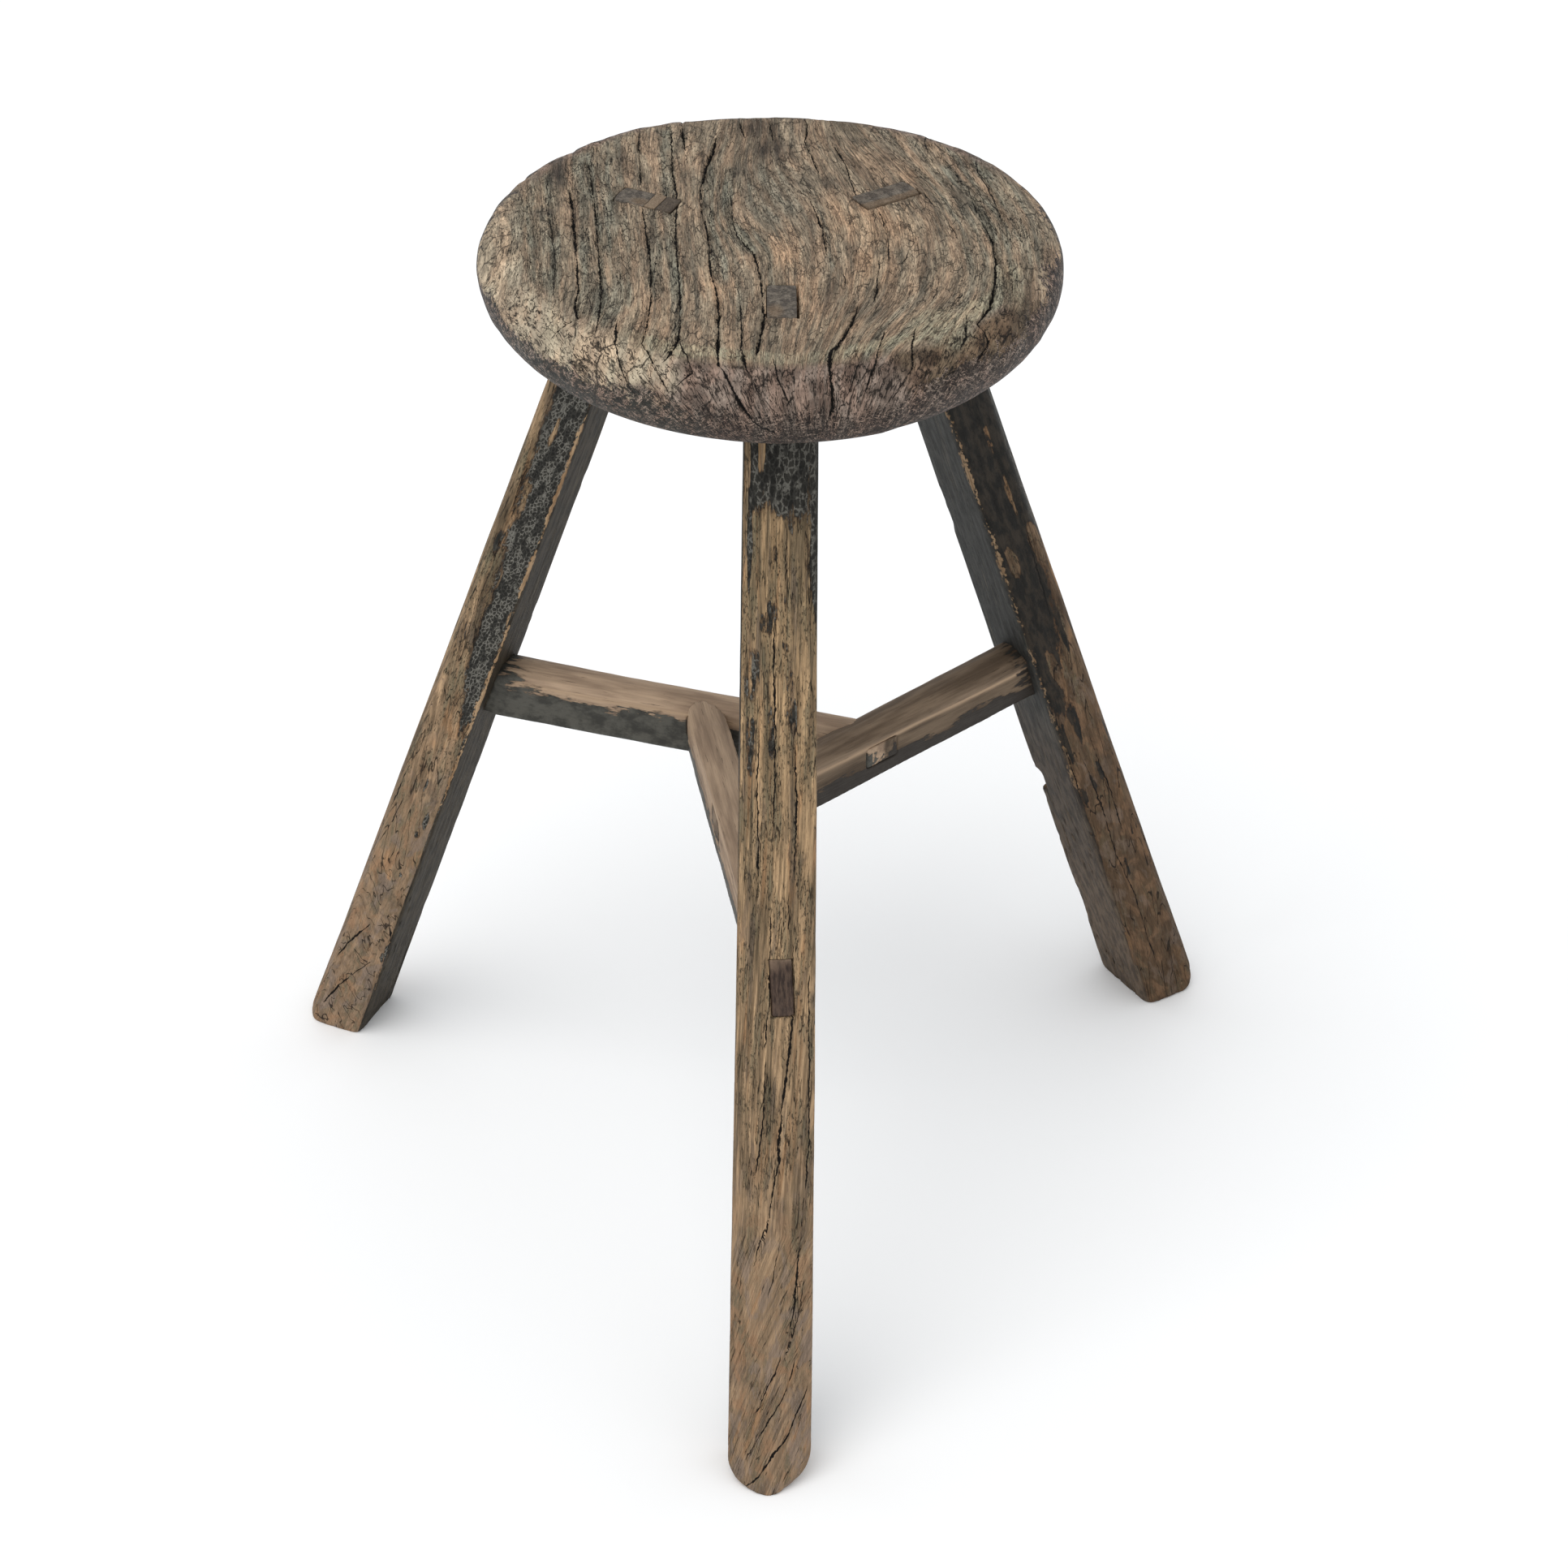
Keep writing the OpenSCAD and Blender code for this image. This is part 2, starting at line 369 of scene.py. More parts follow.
def cutter_box(place, i, first, second, third):
    """Cutter between pairs of leg or bar i's own coordinates, which place turns into points."""
    corners = []
    for w in third:
        for u, v in ((0, 0), (1, 0), (1, 1), (0, 1)):
            corners.append(place(i, first[u], second[v], w))
    return make_object("cutter", np.array(corners), BOX_FACES)


# ---- legs ----------------------------------------------------------------------------------------

# Points round a leg, and the height of its rows of faces
LEG_COUNT = 128
LEG_STEP = 1.15
# Radii worn onto each foot: the side at b below 0, the side at b above 0, the outer edge, and every heel
FOOT_WEAR = ((12.0, 17.0, 1.6), (5.5, 2.0, 3.5), (4.0, 6.0, 11.0))
HEEL_WEAR = 1.6
# How far each leg's section stands proud of its neat size at the seat and at the floor, and how far its
# foot has drifted sideways
LEG_SWELL = ((-0.3, 0.9), (-0.3, 1.4), (1.2, 3.4))
FOOT_DRIFT = (-1.3, 0.0, 0.0)
# A notch knocked out of the right leg's far arris: heights between which it is deepest
NOTCH_LOW, NOTCH_HIGH = 134.5, 142.0
# Room round the tenons in the seat's mortises: at their inner and outer faces, and for each leg on the
# side where b is below 0 and on the side where it is above
TENON_ROOM = (0.65, 0.45)
TENON_GAP = ((0.35, 1.2), (0.35, 0.35), (1.1, 0.35))
# A leg's mortise for its stretcher: room beside the tenon, and how far it reaches down and up from BAR_Z
LEG_MORTISE_GAP = 0.3
LEG_MORTISE_UP = (-13.8, 12.6)


def leg_section(i, z):
    """Width, depth and crown radius of leg i at height z, before wear."""
    down = (SEAT_H - z) / SEAT_H
    return LEG_W[i] + LEG_W_GAIN * down, LEG_D + LEG_D_GAIN * down, CROWN_R + CROWN_GAIN * down


def leg_outline(width, depth, crown_r):
    """Evenly spaced outline of a leg's section, from the middle of its flat inner face round."""
    half = width / 2
    reach = math.asin(half / crown_r)
    side_a = depth / 2 - crown_r + crown_r * math.cos(reach)
    side = side_a + depth / 2
    total = half + side + crown_r * reach
    run = np.arange(LEG_COUNT) / LEG_COUNT * 2 * total
    mirrored = run > total
    run = np.where(mirrored, 2 * total - run, run)
    angle = np.clip((run - half - side) / crown_r, 0, reach)
    on_arc = run > half + side
    a = np.where(run < half, -depth / 2, -depth / 2 + np.clip(run - half, 0, side))
    a = np.where(on_arc, depth / 2 - crown_r + crown_r * np.cos(reach - angle), a)
    b = np.where(run < half, run, half)
    b = np.where(on_arc, crown_r * np.sin(reach - angle), b)
    b = np.where(mirrored, -b, b)
    for _ in range(3):
        a = (np.roll(a, 1) + 2 * a + np.roll(a, -1)) / 4
        b = (np.roll(b, 1) + 2 * b + np.roll(b, -1)) / 4
    return a, b


def worn_back(z, radius):
    """How far a worn corner of this radius draws in at height z."""
    left = np.clip(radius - z, 0, radius)
    return radius - math.sqrt(max(radius**2 - left**2, 0))


def leg_ring(i, z, width, depth, crown_r):
    """Points round leg i at height z, with the wear of its foot."""
    a, b = leg_outline(width, depth, crown_r)
    low_side, high_side, toe = FOOT_WEAR[i]
    half = width / 2
    b = b * (1 - np.where(b < 0, worn_back(z, low_side), worn_back(z, high_side)) / half)
    a = a * (1 - np.where(a > 0, worn_back(z, toe), worn_back(z, HEEL_WEAR)) / (depth / 2))
    return leg_place(i, a, b + FOOT_DRIFT[i] * (1 - min(z / 260, 1)) ** 1.3, z)


def cap(points, rings, first, count, inward):
    """Concentric rings and a middle point that close a loft's end."""
    ring = points[first : first + count]
    middle = ring.mean(0)
    extra = [middle + (ring - middle) * (1 - k / rings) for k in range(1, rings)]
    faces = []
    start = [first] + [len(points) + k * count for k in range(rings - 1)]
    for k in range(rings - 1):
        for j in range(count):
            n = (j + 1) % count
            faces.append((start[k] + j, start[k] + n, start[k + 1] + n, start[k + 1] + j))
    centre = len(points) + (rings - 1) * count
    for j in range(count):
        faces.append((start[-1] + j, start[-1] + (j + 1) % count, centre))
    if inward:
        faces = [tuple(reversed(face)) for face in faces]
    return np.concatenate([points, *extra, middle[None]]), faces


def leg_mesh(i):
    """Worn leg with its foot, its shoulders under the seat and its tenon through it."""
    wear = max(FOOT_WEAR[i])
    foot_z = wear * (1 - np.cos(np.linspace(0.12, math.pi / 2, 15)))
    body_z = np.arange(wear + LEG_STEP, UNDER_Z - 0.4, LEG_STEP)
    rings = [leg_ring(i, z, *leg_section(i, z)) for z in (0.0, *foot_z, *body_z, UNDER_Z)]
    for z in np.linspace(UNDER_Z, SEAT_H - 0.35, 24):
        rings.append(leg_ring(i, z, TENON_W, LEG_D, CROWN_R))
    points, faces = loft(rings)
    body = len(points)
    points, low = cap(points, 9, 0, LEG_COUNT, True)
    points, high = cap(points, 11, body - LEG_COUNT, LEG_COUNT, False)
    return make_object(SIDE_NAMES[i] + "_leg", points, faces + low + high)


def leg_swell(i, z):
    """How far leg i stands proud of its neat size at height z."""
    down = np.clip((SEAT_H - z) / SEAT_H, 0, 1)
    return np.interp(down**1.5, (0, 1), LEG_SWELL[i])


def leg_relief(i, points):
    """Depth in mm of the wear on a leg: hewn flats, weathered grain, checks and chipped arrises."""
    a, b, z = leg_coordinates(i, points)
    local = np.stack([a, b, z], 1)
    width, depth, _ = leg_section(i, z)
    half = width / 2
    arris = np.hypot(half - np.abs(b), a + depth / 2)
    below = 1 - smooth(z, UNDER_Z - 4, UNDER_Z - 1)
    relief = leg_swell(i, z) + 0.3 * layered(local, (30, 30, 90), 11 + i, 2)
    relief += 0.22 * noise(local, (2.6, 2.6, 45), 21 + i) + 0.12 * noise(local, (1.6, 1.6, 14), 31 + i)
    chipped = smooth(layered(local, (60, 60, 16), 41 + i, 3), 0.15, 0.7) + 0.6 * smooth(z, 90, 20)
    relief -= 0.9 * chipped * np.exp(-((arris / 2.2) ** 2))
    check = layered(local, (3.4, 3.4, 70), 51 + i, 2)
    open_check = smooth(np.abs(check), 0.035, 0.0) * smooth(z, 190, 90)
    relief -= 1.0 * open_check * smooth(noise(local, (20, 20, 60), 61 + i), -0.2, 0.3)
    if i == RIGHT:
        far_arris = np.hypot(half - b, a + depth / 2)
        relief -= 5.0 * smooth(far_arris, 7.0, 1.0) * window(z + 0.3 * a, NOTCH_LOW, NOTCH_HIGH, 5.0)
    # The tenon keeps close to its neat size
    return relief * np.where(z > UNDER_Z - 1, 0.06, below)


def make_leg(i):
    piece = leg_mesh(i)
    fix_normals(piece)
    points = points_of(piece)
    normals = normals_of(piece)
    moved = points + normals * leg_relief(i, points)[:, None]
    moved[:, 2] = np.maximum(moved[:, 2], 0.0)
    set_points(piece, moved)
    half = LEG_TENON_W / 2 + LEG_MORTISE_GAP
    past_leg = 50
    along = (-bar_start(i) - past_leg, -bar_start(i) + past_leg)
    cutters = [cutter_box(bar_place, i, along, (-half, half), LEG_MORTISE_UP)]
    if i == LEFT:
        cutters.append(wedge_prism(gap=0.45, side=9.0, top=SEAT_H + 3))
    cut(piece, *cutters)
    return piece


def wedge_prism(gap, side, top):
    """The wedge's shape in the left leg's tenon, with a gap all round and out to the sides."""
    deep = WEDGE_X + lean_out(LEFT, SEAT_H - WEDGE_DEPTH)
    rise = (top - SEAT_H) / WEDGE_DEPTH
    corners = []
    for z, middle, thick in (
        (SEAT_H - WEDGE_DEPTH, deep, WEDGE_TIP / 2 + gap),
        (top, WEDGE_X + (WEDGE_X - deep) * rise, WEDGE_T / 2 + gap),
    ):
        for face, b in ((-1, -side), (1, -side), (1, side), (-1, side)):
            corners.append((*splay(LEFT, middle + face * thick, b), z))
    return make_object("cutter", np.array(corners), BOX_FACES)


# ---- stretchers and wedge ------------------------------------------------------------------------


def from_cad(name, node, pitch, rounds):
    """A CAD node's solid as an even, slightly rounded mesh."""
    work = bmesh.new()
    work.from_mesh(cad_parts[node].data)
    bmesh.ops.remove_doubles(work, verts=work.verts, dist=1e-6)
    mesh = bpy.data.meshes.new(name)
    work.to_mesh(mesh)
    work.free()
    piece = bpy.data.objects.new(name, mesh)
    bpy.context.scene.collection.objects.link(piece)
    remesh = piece.modifiers.new("remesh", "REMESH")
    remesh.mode = "VOXEL"
    remesh.voxel_size = pitch * MM
    relax = piece.modifiers.new("relax", "SMOOTH")
    relax.factor = 0.5
    relax.iterations = rounds
    baked(piece)
    return piece


# How far each stretcher stands proud of its neat size at its leg, its middle and its far end: on top,
# then underneath
BAR_SHAPE = (
    ((0.3, 0.3, 0.3), (0.2, 0.2, 0.2)),
    ((0.8, -0.5, 0.3), (0.9, 1.5, 1.5)),
    ((2.2, 0.9, 0.3), (-0.9, -0.6, 0.0)),
)


def make_stretcher(i):
    piece = from_cad(SIDE_NAMES[i] + "_stretcher", "stretcher_" + SIDE_NAMES[i], 0.8, 3)
    points = points_of(piece)
    along, across, up = bar_coordinates(i, points)
    local = np.stack([along, across, up], 1)
    on_bar = window(along, -bar_start(i) + 18, 12, 6)
    relief = 0.4 * layered(local, (45, 14, 14), 71 + i, 2) + 0.16 * noise(local, (24, 2.4, 2.4), 81 + i)
    relief += 0.1 * noise(local, (9, 1.6, 1.6), 91 + i)
    start = -bar_start(i) + 14
    places = (start, start * 0.45, 0)
    for face, proud in zip((smooth(up, 6, 12), smooth(up, -6, -12)), BAR_SHAPE[i]):
        relief += face * on_bar * np.interp(along, places, proud)
    # The tenons keep close to their neat size
    set_points(piece, points + normals_of(piece) * (relief * (0.25 + 0.75 * on_bar))[:, None])
    return piece


def make_wedge():
    piece = from_cad("tenon_wedge", "seat_wedge", 0.35, 2)
    points = points_of(piece)
    relief = 0.12 * noise(points, (2.0, 2.0, 9.0), 101)
    set_points(piece, points + normals_of(piece) * relief[:, None])
    return piece


# ---- seat ----------------------------------------------------------------------------------------

# Cells across the disc of the top, which are four times finer than those of the underside
SEAT_GRID = 208
# Radii of the flat top and underside, the height at which the rim is widest, and the power, below 1, that
# makes its upper half fuller than an ellipse
TOP_FLAT_R = 106.0
UNDER_FLAT_R = 107.0
WIDEST_Z = 502.0
RIM_POWER = 0.86
# The rim unrolls round a circle of this radius, whose centre is at this height, and the flat distance
# from the middle at which cracks and lacquer count it to start
ROUND_R = 22.5
ROUND_Z = 499.0
RIM_START = 109.0
# The tree's pith runs front to back, below the plank
PITH_X = 16.0
PITH_Z = 432.0
# How many mm a radian round the pith counts for in the end grain's figure
RADIAL_SPREAD = 90
# The seat is shortened from front to back by this factor
SEAT_SQUASH = 0.985
# Growth lines in the seat top: the ring each one belongs to, and its x at each y of GRAIN_Y
GRAIN_Y = (-125, -95, -60, -20, 20, 60, 95, 125)
GRAIN_LINES = (
    (-126, (-134, -131, -127, -126, -126, -124, -122, -120)),
    (-111, (-118, -115, -111, -110, -111, -110, -108, -106)),
    (-99, (-107, -104, -99.5, -97.5, -99, -100, -98, -96)),
    (-88, (-98, -95, -88.5, -88, -88, -89.5, -88, -86)),
    (-78, (-89, -86, -77.5, -77.5, -78.5, -80, -79, -77)),
    (-56, (-68, -61, -56, -55, -56.5, -57, -57, -56)),
    (-43, (-53, -46, -43.5, -43, -42, -41.5, -41, -39)),
    (-29, (-27.5, -28.5, -27, -28.5, -30, -27, -20, -14)),
    (-10, (-14, -10.5, -7.5, -8, -16.5, -14, -8, -5)),
    (9, (0, 4, 9, 10, 4, 0, 3, 4)),
    (22, (8, 14, 21, 23.5, 20.5, 11, 9, 10)),
    (31, (13, 20, 29, 32, 30, 25, 20.5, 22)),
    (46, (18.5, 28, 42, 48, 47, 38.5, 31, 30)),
    (78, (40, 57, 74, 80.5, 77, 64, 50, 44)),
    (97, (70, 84, 95.5, 98, 94, 83, 77, 75)),
    (110, (90, 101, 108, 111, 108, 100, 93, 90)),
    (122, (105, 113, 120, 124, 122, 115, 108, 102)),
    (134, (122, 127, 132, 136, 134, 128, 121, 114)),
)


def seat_profile():
    """(radius, height, outward, upward) of each ring from the flat top's edge to the underside."""
    rows = []
    for t in np.linspace(0, math.pi / 2, 34)[1:]:
        radius = TOP_FLAT_R + (SEAT_R - TOP_FLAT_R) * math.sin(t) ** RIM_POWER
        height = WIDEST_Z + (SEAT_H - WIDEST_Z) * max(math.cos(t), 0) ** RIM_POWER
        rows.append((radius, height, math.sin(t), math.cos(t)))
    for t in np.linspace(0, math.pi / 2, 22)[1:]:
        radius = UNDER_FLAT_R + (SEAT_R - UNDER_FLAT_R) * math.cos(t)
        height = WIDEST_Z - (WIDEST_Z - UNDER_Z) * math.sin(t)
        rows.append((radius, height, math.cos(t), -math.sin(t)))
    return rows


def disc_grid(cells):
    """A square grid bent into a disc of radius 1: points and the order of its border."""
    line = np.linspace(-1, 1, cells + 1)
    u, v = np.meshgrid(line, line, indexing="ij")
    points = np.stack([u * np.sqrt(1 - v * v / 2), v * np.sqrt(1 - u * u / 2)], -1).reshape(-1, 2)
    number = np.arange((cells + 1) ** 2).reshape(cells + 1, cells + 1)
    border = np.concatenate(
        [number[-1, :-1], number[:0:-1, -1], number[0, :0:-1], number[:-1, 0]]
    )
    quads = np.stack(
        [number[:-1, :-1], number[1:, :-1], number[1:, 1:], number[:-1, 1:]], -1
    ).reshape(-1, 4)
    return points, quads, border


def seat_mesh():
    """Closed seat: a fine disc, fine rings round the rim, and a coarser disc below."""
    disc, quads, border = disc_grid(SEAT_GRID)
    points = [np.column_stack([disc * TOP_FLAT_R, np.full(len(disc), SEAT_H)])]
    normals = [np.tile((0.0, 0.0, 1.0), (len(disc), 1))]
    faces = quads.tolist()
    count = len(border)
    direction = disc[border] / np.linalg.norm(disc[border], axis=1)[:, None]
    total = len(disc)
    previous = border
    for radius, height, outward, upward in seat_profile():
        points.append(np.column_stack([direction * radius, np.full(count, height)]))
        normals.append(np.column_stack([direction * outward, np.full(count, upward)]))
        ring = total + np.arange(count)
        faces += np.stack([previous, np.roll(previous, -1), np.roll(ring, -1), ring], 1)[:, ::-1].tolist()
        previous = ring
        total += count
    coarse, quads, border = disc_grid(SEAT_GRID // 4)
    points.append(np.column_stack([coarse * (UNDER_FLAT_R - 3), np.full(len(coarse), UNDER_Z)]))
    normals.append(np.tile((0.0, 0.0, -1.0), (len(coarse), 1)))
    # Each step of the coarse disc's border meets four steps of the last ring
    inner = border + total
    for j in range(len(inner)):
        here, following = int(inner[j]), int(inner[(j + 1) % len(inner)])
        edge = [int(previous[(4 * j + k) % count]) for k in range(5)]
        faces += [(edge[0], edge[1], here), (edge[1], edge[2], here), (edge[2], following, here)]
        faces += [(edge[2], edge[3], following), (edge[3], edge[4], following)]
    faces += (quads[:, ::-1] + total).tolist()
    piece = make_object("seat_plank", np.concatenate(points), faces)
    fix_normals(piece)
    return piece, np.concatenate(normals)


def seat_spread(points):
    """The seat's skin laid flat: the top as seen from above, the rim unrolled outside it."""
    x, y, z = points.T
    radius = np.hypot(x, y)
    turn = np.arctan2(radius - UNDER_FLAT_R, z - ROUND_Z)
    flat = np.where(radius > UNDER_FLAT_R, UNDER_FLAT_R + np.clip(turn, 0, 3) * ROUND_R, radius)
    flat = np.where((z < WIDEST_Z) & (radius <= UNDER_FLAT_R), UNDER_FLAT_R + 3 * ROUND_R, flat)
    scale = flat / np.maximum(radius, 1e-6)
    return np.stack([x * scale, y * scale], -1), flat


def ring_number(x, y):
    """Which growth ring a point of the seat top is in, in mm of mean distance from the middle."""
    y = np.clip(y, GRAIN_Y[0], GRAIN_Y[-1])
    knots = np.array(GRAIN_Y, float)
    cell = np.clip(np.searchsorted(knots, y) - 1, 0, len(knots) - 2)
    t = (y - knots[cell]) / (knots[cell + 1] - knots[cell])
    lines = []
    for _, xs in GRAIN_LINES:
        xs = np.array((2 * xs[0] - xs[1], *xs, 2 * xs[-1] - xs[-2]), float)
        p0, p1, p2, p3 = xs[cell], xs[cell + 1], xs[cell + 2], xs[cell + 3]
        curve = 2 * p1 + (p2 - p0) * t + (2 * p0 - 5 * p1 + 4 * p2 - p3) * t**2
        lines.append((curve + (3 * p1 - p0 - 3 * p2 + p3) * t**3) / 2)
    lines = np.array(lines)
    names = np.array([name for name, _ in GRAIN_LINES], float)
    below = np.clip((lines < x).sum(0) - 1, 0, len(names) - 2)
    column = np.arange(len(x))
    low, high = lines[below, column], lines[below + 1, column]
    share = (x - low) / np.maximum(high - low, 0.5)
    return names[below] + share * (names[below + 1] - names[below])


def rim(az, down):
    """A place on the unrolled rim: direction from the seat's middle, and mm below the top's edge."""
    return (RIM_START + down) * cosd(az), (RIM_START + down) * sind(az)


# Drying cracks, left to right: greatest half width, depth, and the points that each runs through
SEAT_CRACKS = (
    (0.35, 1.2, (-99, 60), (-100, 50), (-99, 20), (-98, 0), (-97, -25), (-99, -58)),
    (0.95, 3.2, (-89.5, 46), (-88.5, 25), (-88, 0), (-87.5, -50), (-90, -66), rim(219.5, 7),
     rim(217.5, 22)),
    (0.55, 2.0, (-80, 70), (-78, 20), (-77.5, -50), (-79, -75), (-81.5, -84), rim(226.5, 10),
     rim(225, 20)),
    (0.75, 2.0, (-71, -78), (-72.5, -86), (-73, -92), rim(232.5, 12), rim(236, 21), rim(239.4, 30)),
    (0.7, 2.6, (-56, 108), (-57, 60), (-57, 46)),
    (0.75, 2.8, (-57, 27), (-56, 0), (-55, -20), (-56, -60), (-60, -92), rim(237.8, 7), rim(242.7, 16),
     rim(247, 27)),
    (0.6, 1.8, (-41, 105), (-42, 60), (-41, 36), (-43, 0), (-43, -40), (-44, -80), (-46, -98)),
    (1.25, 3.6, (-44, -84), (-47, -100), (-50, -107), rim(245.0, 3), rim(244.3, 15)),
    (0.8, 2.2, (-45, -96), (-44.5, -106), rim(248.6, 8), rim(250.9, 17), rim(248.0, 24)),
    (0.8, 3.0, (-33, 130), (-36, 112), (-36, 98), (-35, 80)),
    (1.1, 4.2, (-20, 96), (-23, 80), (-27.5, 60), (-30.3, 40), (-30.6, 25), (-29, 8), (-28.5, -12),
     (-29, -32), (-27.3, -52), (-27, -72), (-28, -92), (-29.5, -110), rim(255.8, 9)),
    (1.0, 2.2, (-29.5, -106), rim(255.8, 11), rim(259.7, 23), rim(263.6, 36), rim(268, 43)),
    (0.7, 1.8, (-17.5, -60), (-18, -90), (-19, -109), rim(261.7, 13), rim(264.3, 23), rim(267.6, 30)),
    (0.45, 1.6, (-9, 116), (-7.5, 97), (-5, 86)),
    (1.0, 3.8, (-16.5, 36), (-17, 14), (-15.5, 0), (-12.5, -8), (-8.8, -18), (-7.3, -40), (-7.6, -64),
     (-7.4, -76), (-9, -88), (-12, -106), (-13, -114)),
    (0.65, 1.7, rim(267, 6), rim(268.2, 18), rim(270.5, 29)),
    (0.4, 1.3, (5, 112), (6, 92), (5, 84)),
    (0.7, 2.4, (14.5, 42), (18, 35), (21, 20), (22.7, 5), (23, -15), (23.6, -25)),
    (0.95, 3.4, (34, -70), (31, -82), (26, -95), (21.5, -107), rim(279.8, 8)),
    (1.15, 2.6, (23, -103), rim(279.8, 3), rim(278.5, 14), rim(278.3, 30), rim(277, 38)),
    (0.55, 1.8, (22.5, 118), (22, 98), (20, 90), (22.5, 74), (25, 55)),
    (0.5, 1.6, (29.5, -40), (29.7, -46), (29.3, -53)),
    (0.55, 1.7, (46.5, -27), (45, -40), (43, -55), (40.5, -68)),
    (0.7, 1.8, rim(285.7, 2), rim(284.7, 13), rim(281, 26)),
    (0.6, 1.9, (33, 86), (37, 70), (39, 55), (39.8, 40), (42, 30), (48.5, 22)),
    (0.75, 1.9, (43.5, -92), (42, -101), rim(289.6, 9), rim(287.4, 16), rim(284, 27)),
    (0.45, 1.5, (49.5, 21), (51, 10), (51.5, -5), (51, -20), (50, -31)),
    (0.6, 1.8, (60.5, -18), (58.5, -26), (55.5, -33)),
    (0.7, 1.8, (58, -88), (56, -99), rim(298, 8), rim(295.5, 19), rim(289.6, 30)),
    (0.5, 1.6, (70.8, 40), (74, 26), (79, 12), (82, -2), (83, -10)),
    (0.7, 1.8, rim(315.8, 4), rim(310.6, 14), rim(306.5, 19)),
    (0.7, 2.6, (78, 101), (76.3, 88), (76.7, 74)),
    (0.9, 3.4, (92, 36), (95, 10), (98, -6), (98, -30), (95, -56), (93, -70), (86, -84), rim(315.2, 21),
     rim(309.3, 28)),
    (0.6, 2.2, (98.5, 72), (98, 56), (101, 40), (103.5, 20), (104, 5)),
)
# Rings that weathered lower than their neighbours: ring number, half width, y range, strength
ERODED_RINGS = (
    (-118, 3, -30, 60, 0.5), (-110.5, 2.6, -55, 70, 1.0), (-104, 3, -65, 20, 0.7),
    (-98, 2.2, -75, 60, 0.9), (-84, 3, -75, 110, 0.8), (-78, 2, -90, 100, 0.9), (-72, 3, -92, 100, 0.7),
    (-66, 1.6, -60, 100, 0.6), (-53, 3, -50, 20, 0.8), (-44.5, 2.4, -105, 100, 0.9),
    (-26, 3, -40, 62, 0.9), (-20, 1.2, -105, 90, 0.5), (-13, 3.6, -12, 60, 1.0), (-5, 1.8, -48, -5, 0.7),
    (24, 1.4, -30, 40, 0.6), (62, 1.6, -112, -66, 0.8), (72, 1.4, -105, -60, 0.6), (84, 2, -70, 105, 0.6),
    (91, 1.8, -75, 90, 0.6), (97.5, 2.6, -85, 60, 1.0), (104, 2, -80, 80, 0.8), (111, 2.6, -60, 80, 0.8),
    (118, 2, -50, 70, 0.6),
)


def crack_distance(query, crack):
    """Signed distance to a crack, plain distance, and the crack's half width there."""
    widest, _, *path = crack
    path = np.array(path, float)
    steps = np.diff(path, axis=0)
    lengths = np.linalg.norm(steps, axis=1)
    reach = np.concatenate([[0], np.cumsum(lengths)])
    best = np.full(len(query), 1e9)
    signed = np.zeros(len(query))
    share = np.zeros(len(query))
    for k, step in enumerate(steps):
        offset = query - path[k]
        t = np.clip(offset @ step / lengths[k] ** 2, 0, 1)
        apart = np.linalg.norm(offset - t[:, None] * step, axis=1)
        side = np.sign(step[0] * offset[:, 1] - step[1] * offset[:, 0])
        closer = apart < best
        best = np.where(closer, apart, best)
        signed = np.where(closer, apart * side, signed)
        share = np.where(closer, (reach[k] + t * lengths[k]) / reach[-1], share)
    ends = np.minimum(share, 1 - share) * reach[-1]
    run = np.column_stack([share * reach[-1], signed * 0, signed * 0])
    swell = 0.55 + 0.35 * noise(run, 11, int(reach[-1])) + 0.25 * noise(run, 2.5, 3 + int(reach[-1]))
    return signed, best, widest * np.clip(ends / 9, 0, 1) ** 0.6 * swell


def crack_channels(spread, cracks):
    """Signed distances and half widths, three of each so that neighbouring cracks don't share one, and
    the depth of groove that the cracks cut."""
    wobble = np.column_stack([spread, np.zeros(len(spread))])
    ragged = 0.5 * layered(wobble, 5, 201, 3) + 0.28 * noise(wobble, 1.3, 205)
    query = spread + np.stack([ragged, 0.5 * noise(wobble, 6, 207)], 1)
    distance = np.full((len(spread), 3), 9.0)
    width = np.zeros((len(spread), 3))
    groove = np.zeros(len(spread))
    for n, crack in enumerate(cracks):
        path = np.array(crack[2:], float)
        inside = np.all((query > path.min(0) - 5) & (query < path.max(0) + 5), axis=1)
        index = np.nonzero(inside)[0]
        signed, apart, half = crack_distance(query[index], crack)
        cleft = crack[1] * np.clip(half / crack[0], 0, 1) * smooth(apart, half + 0.5, 0.05)
        groove[index] = np.maximum(groove[index], cleft)
        channel = n % 3
        near = (apart < 4.0) & (apart < np.abs(distance[index, channel]))
        distance[index[near], channel] = signed[near]
        width[index[near], channel] = np.where(apart < 3.0, half, 0)[near]
    return distance, width, groove


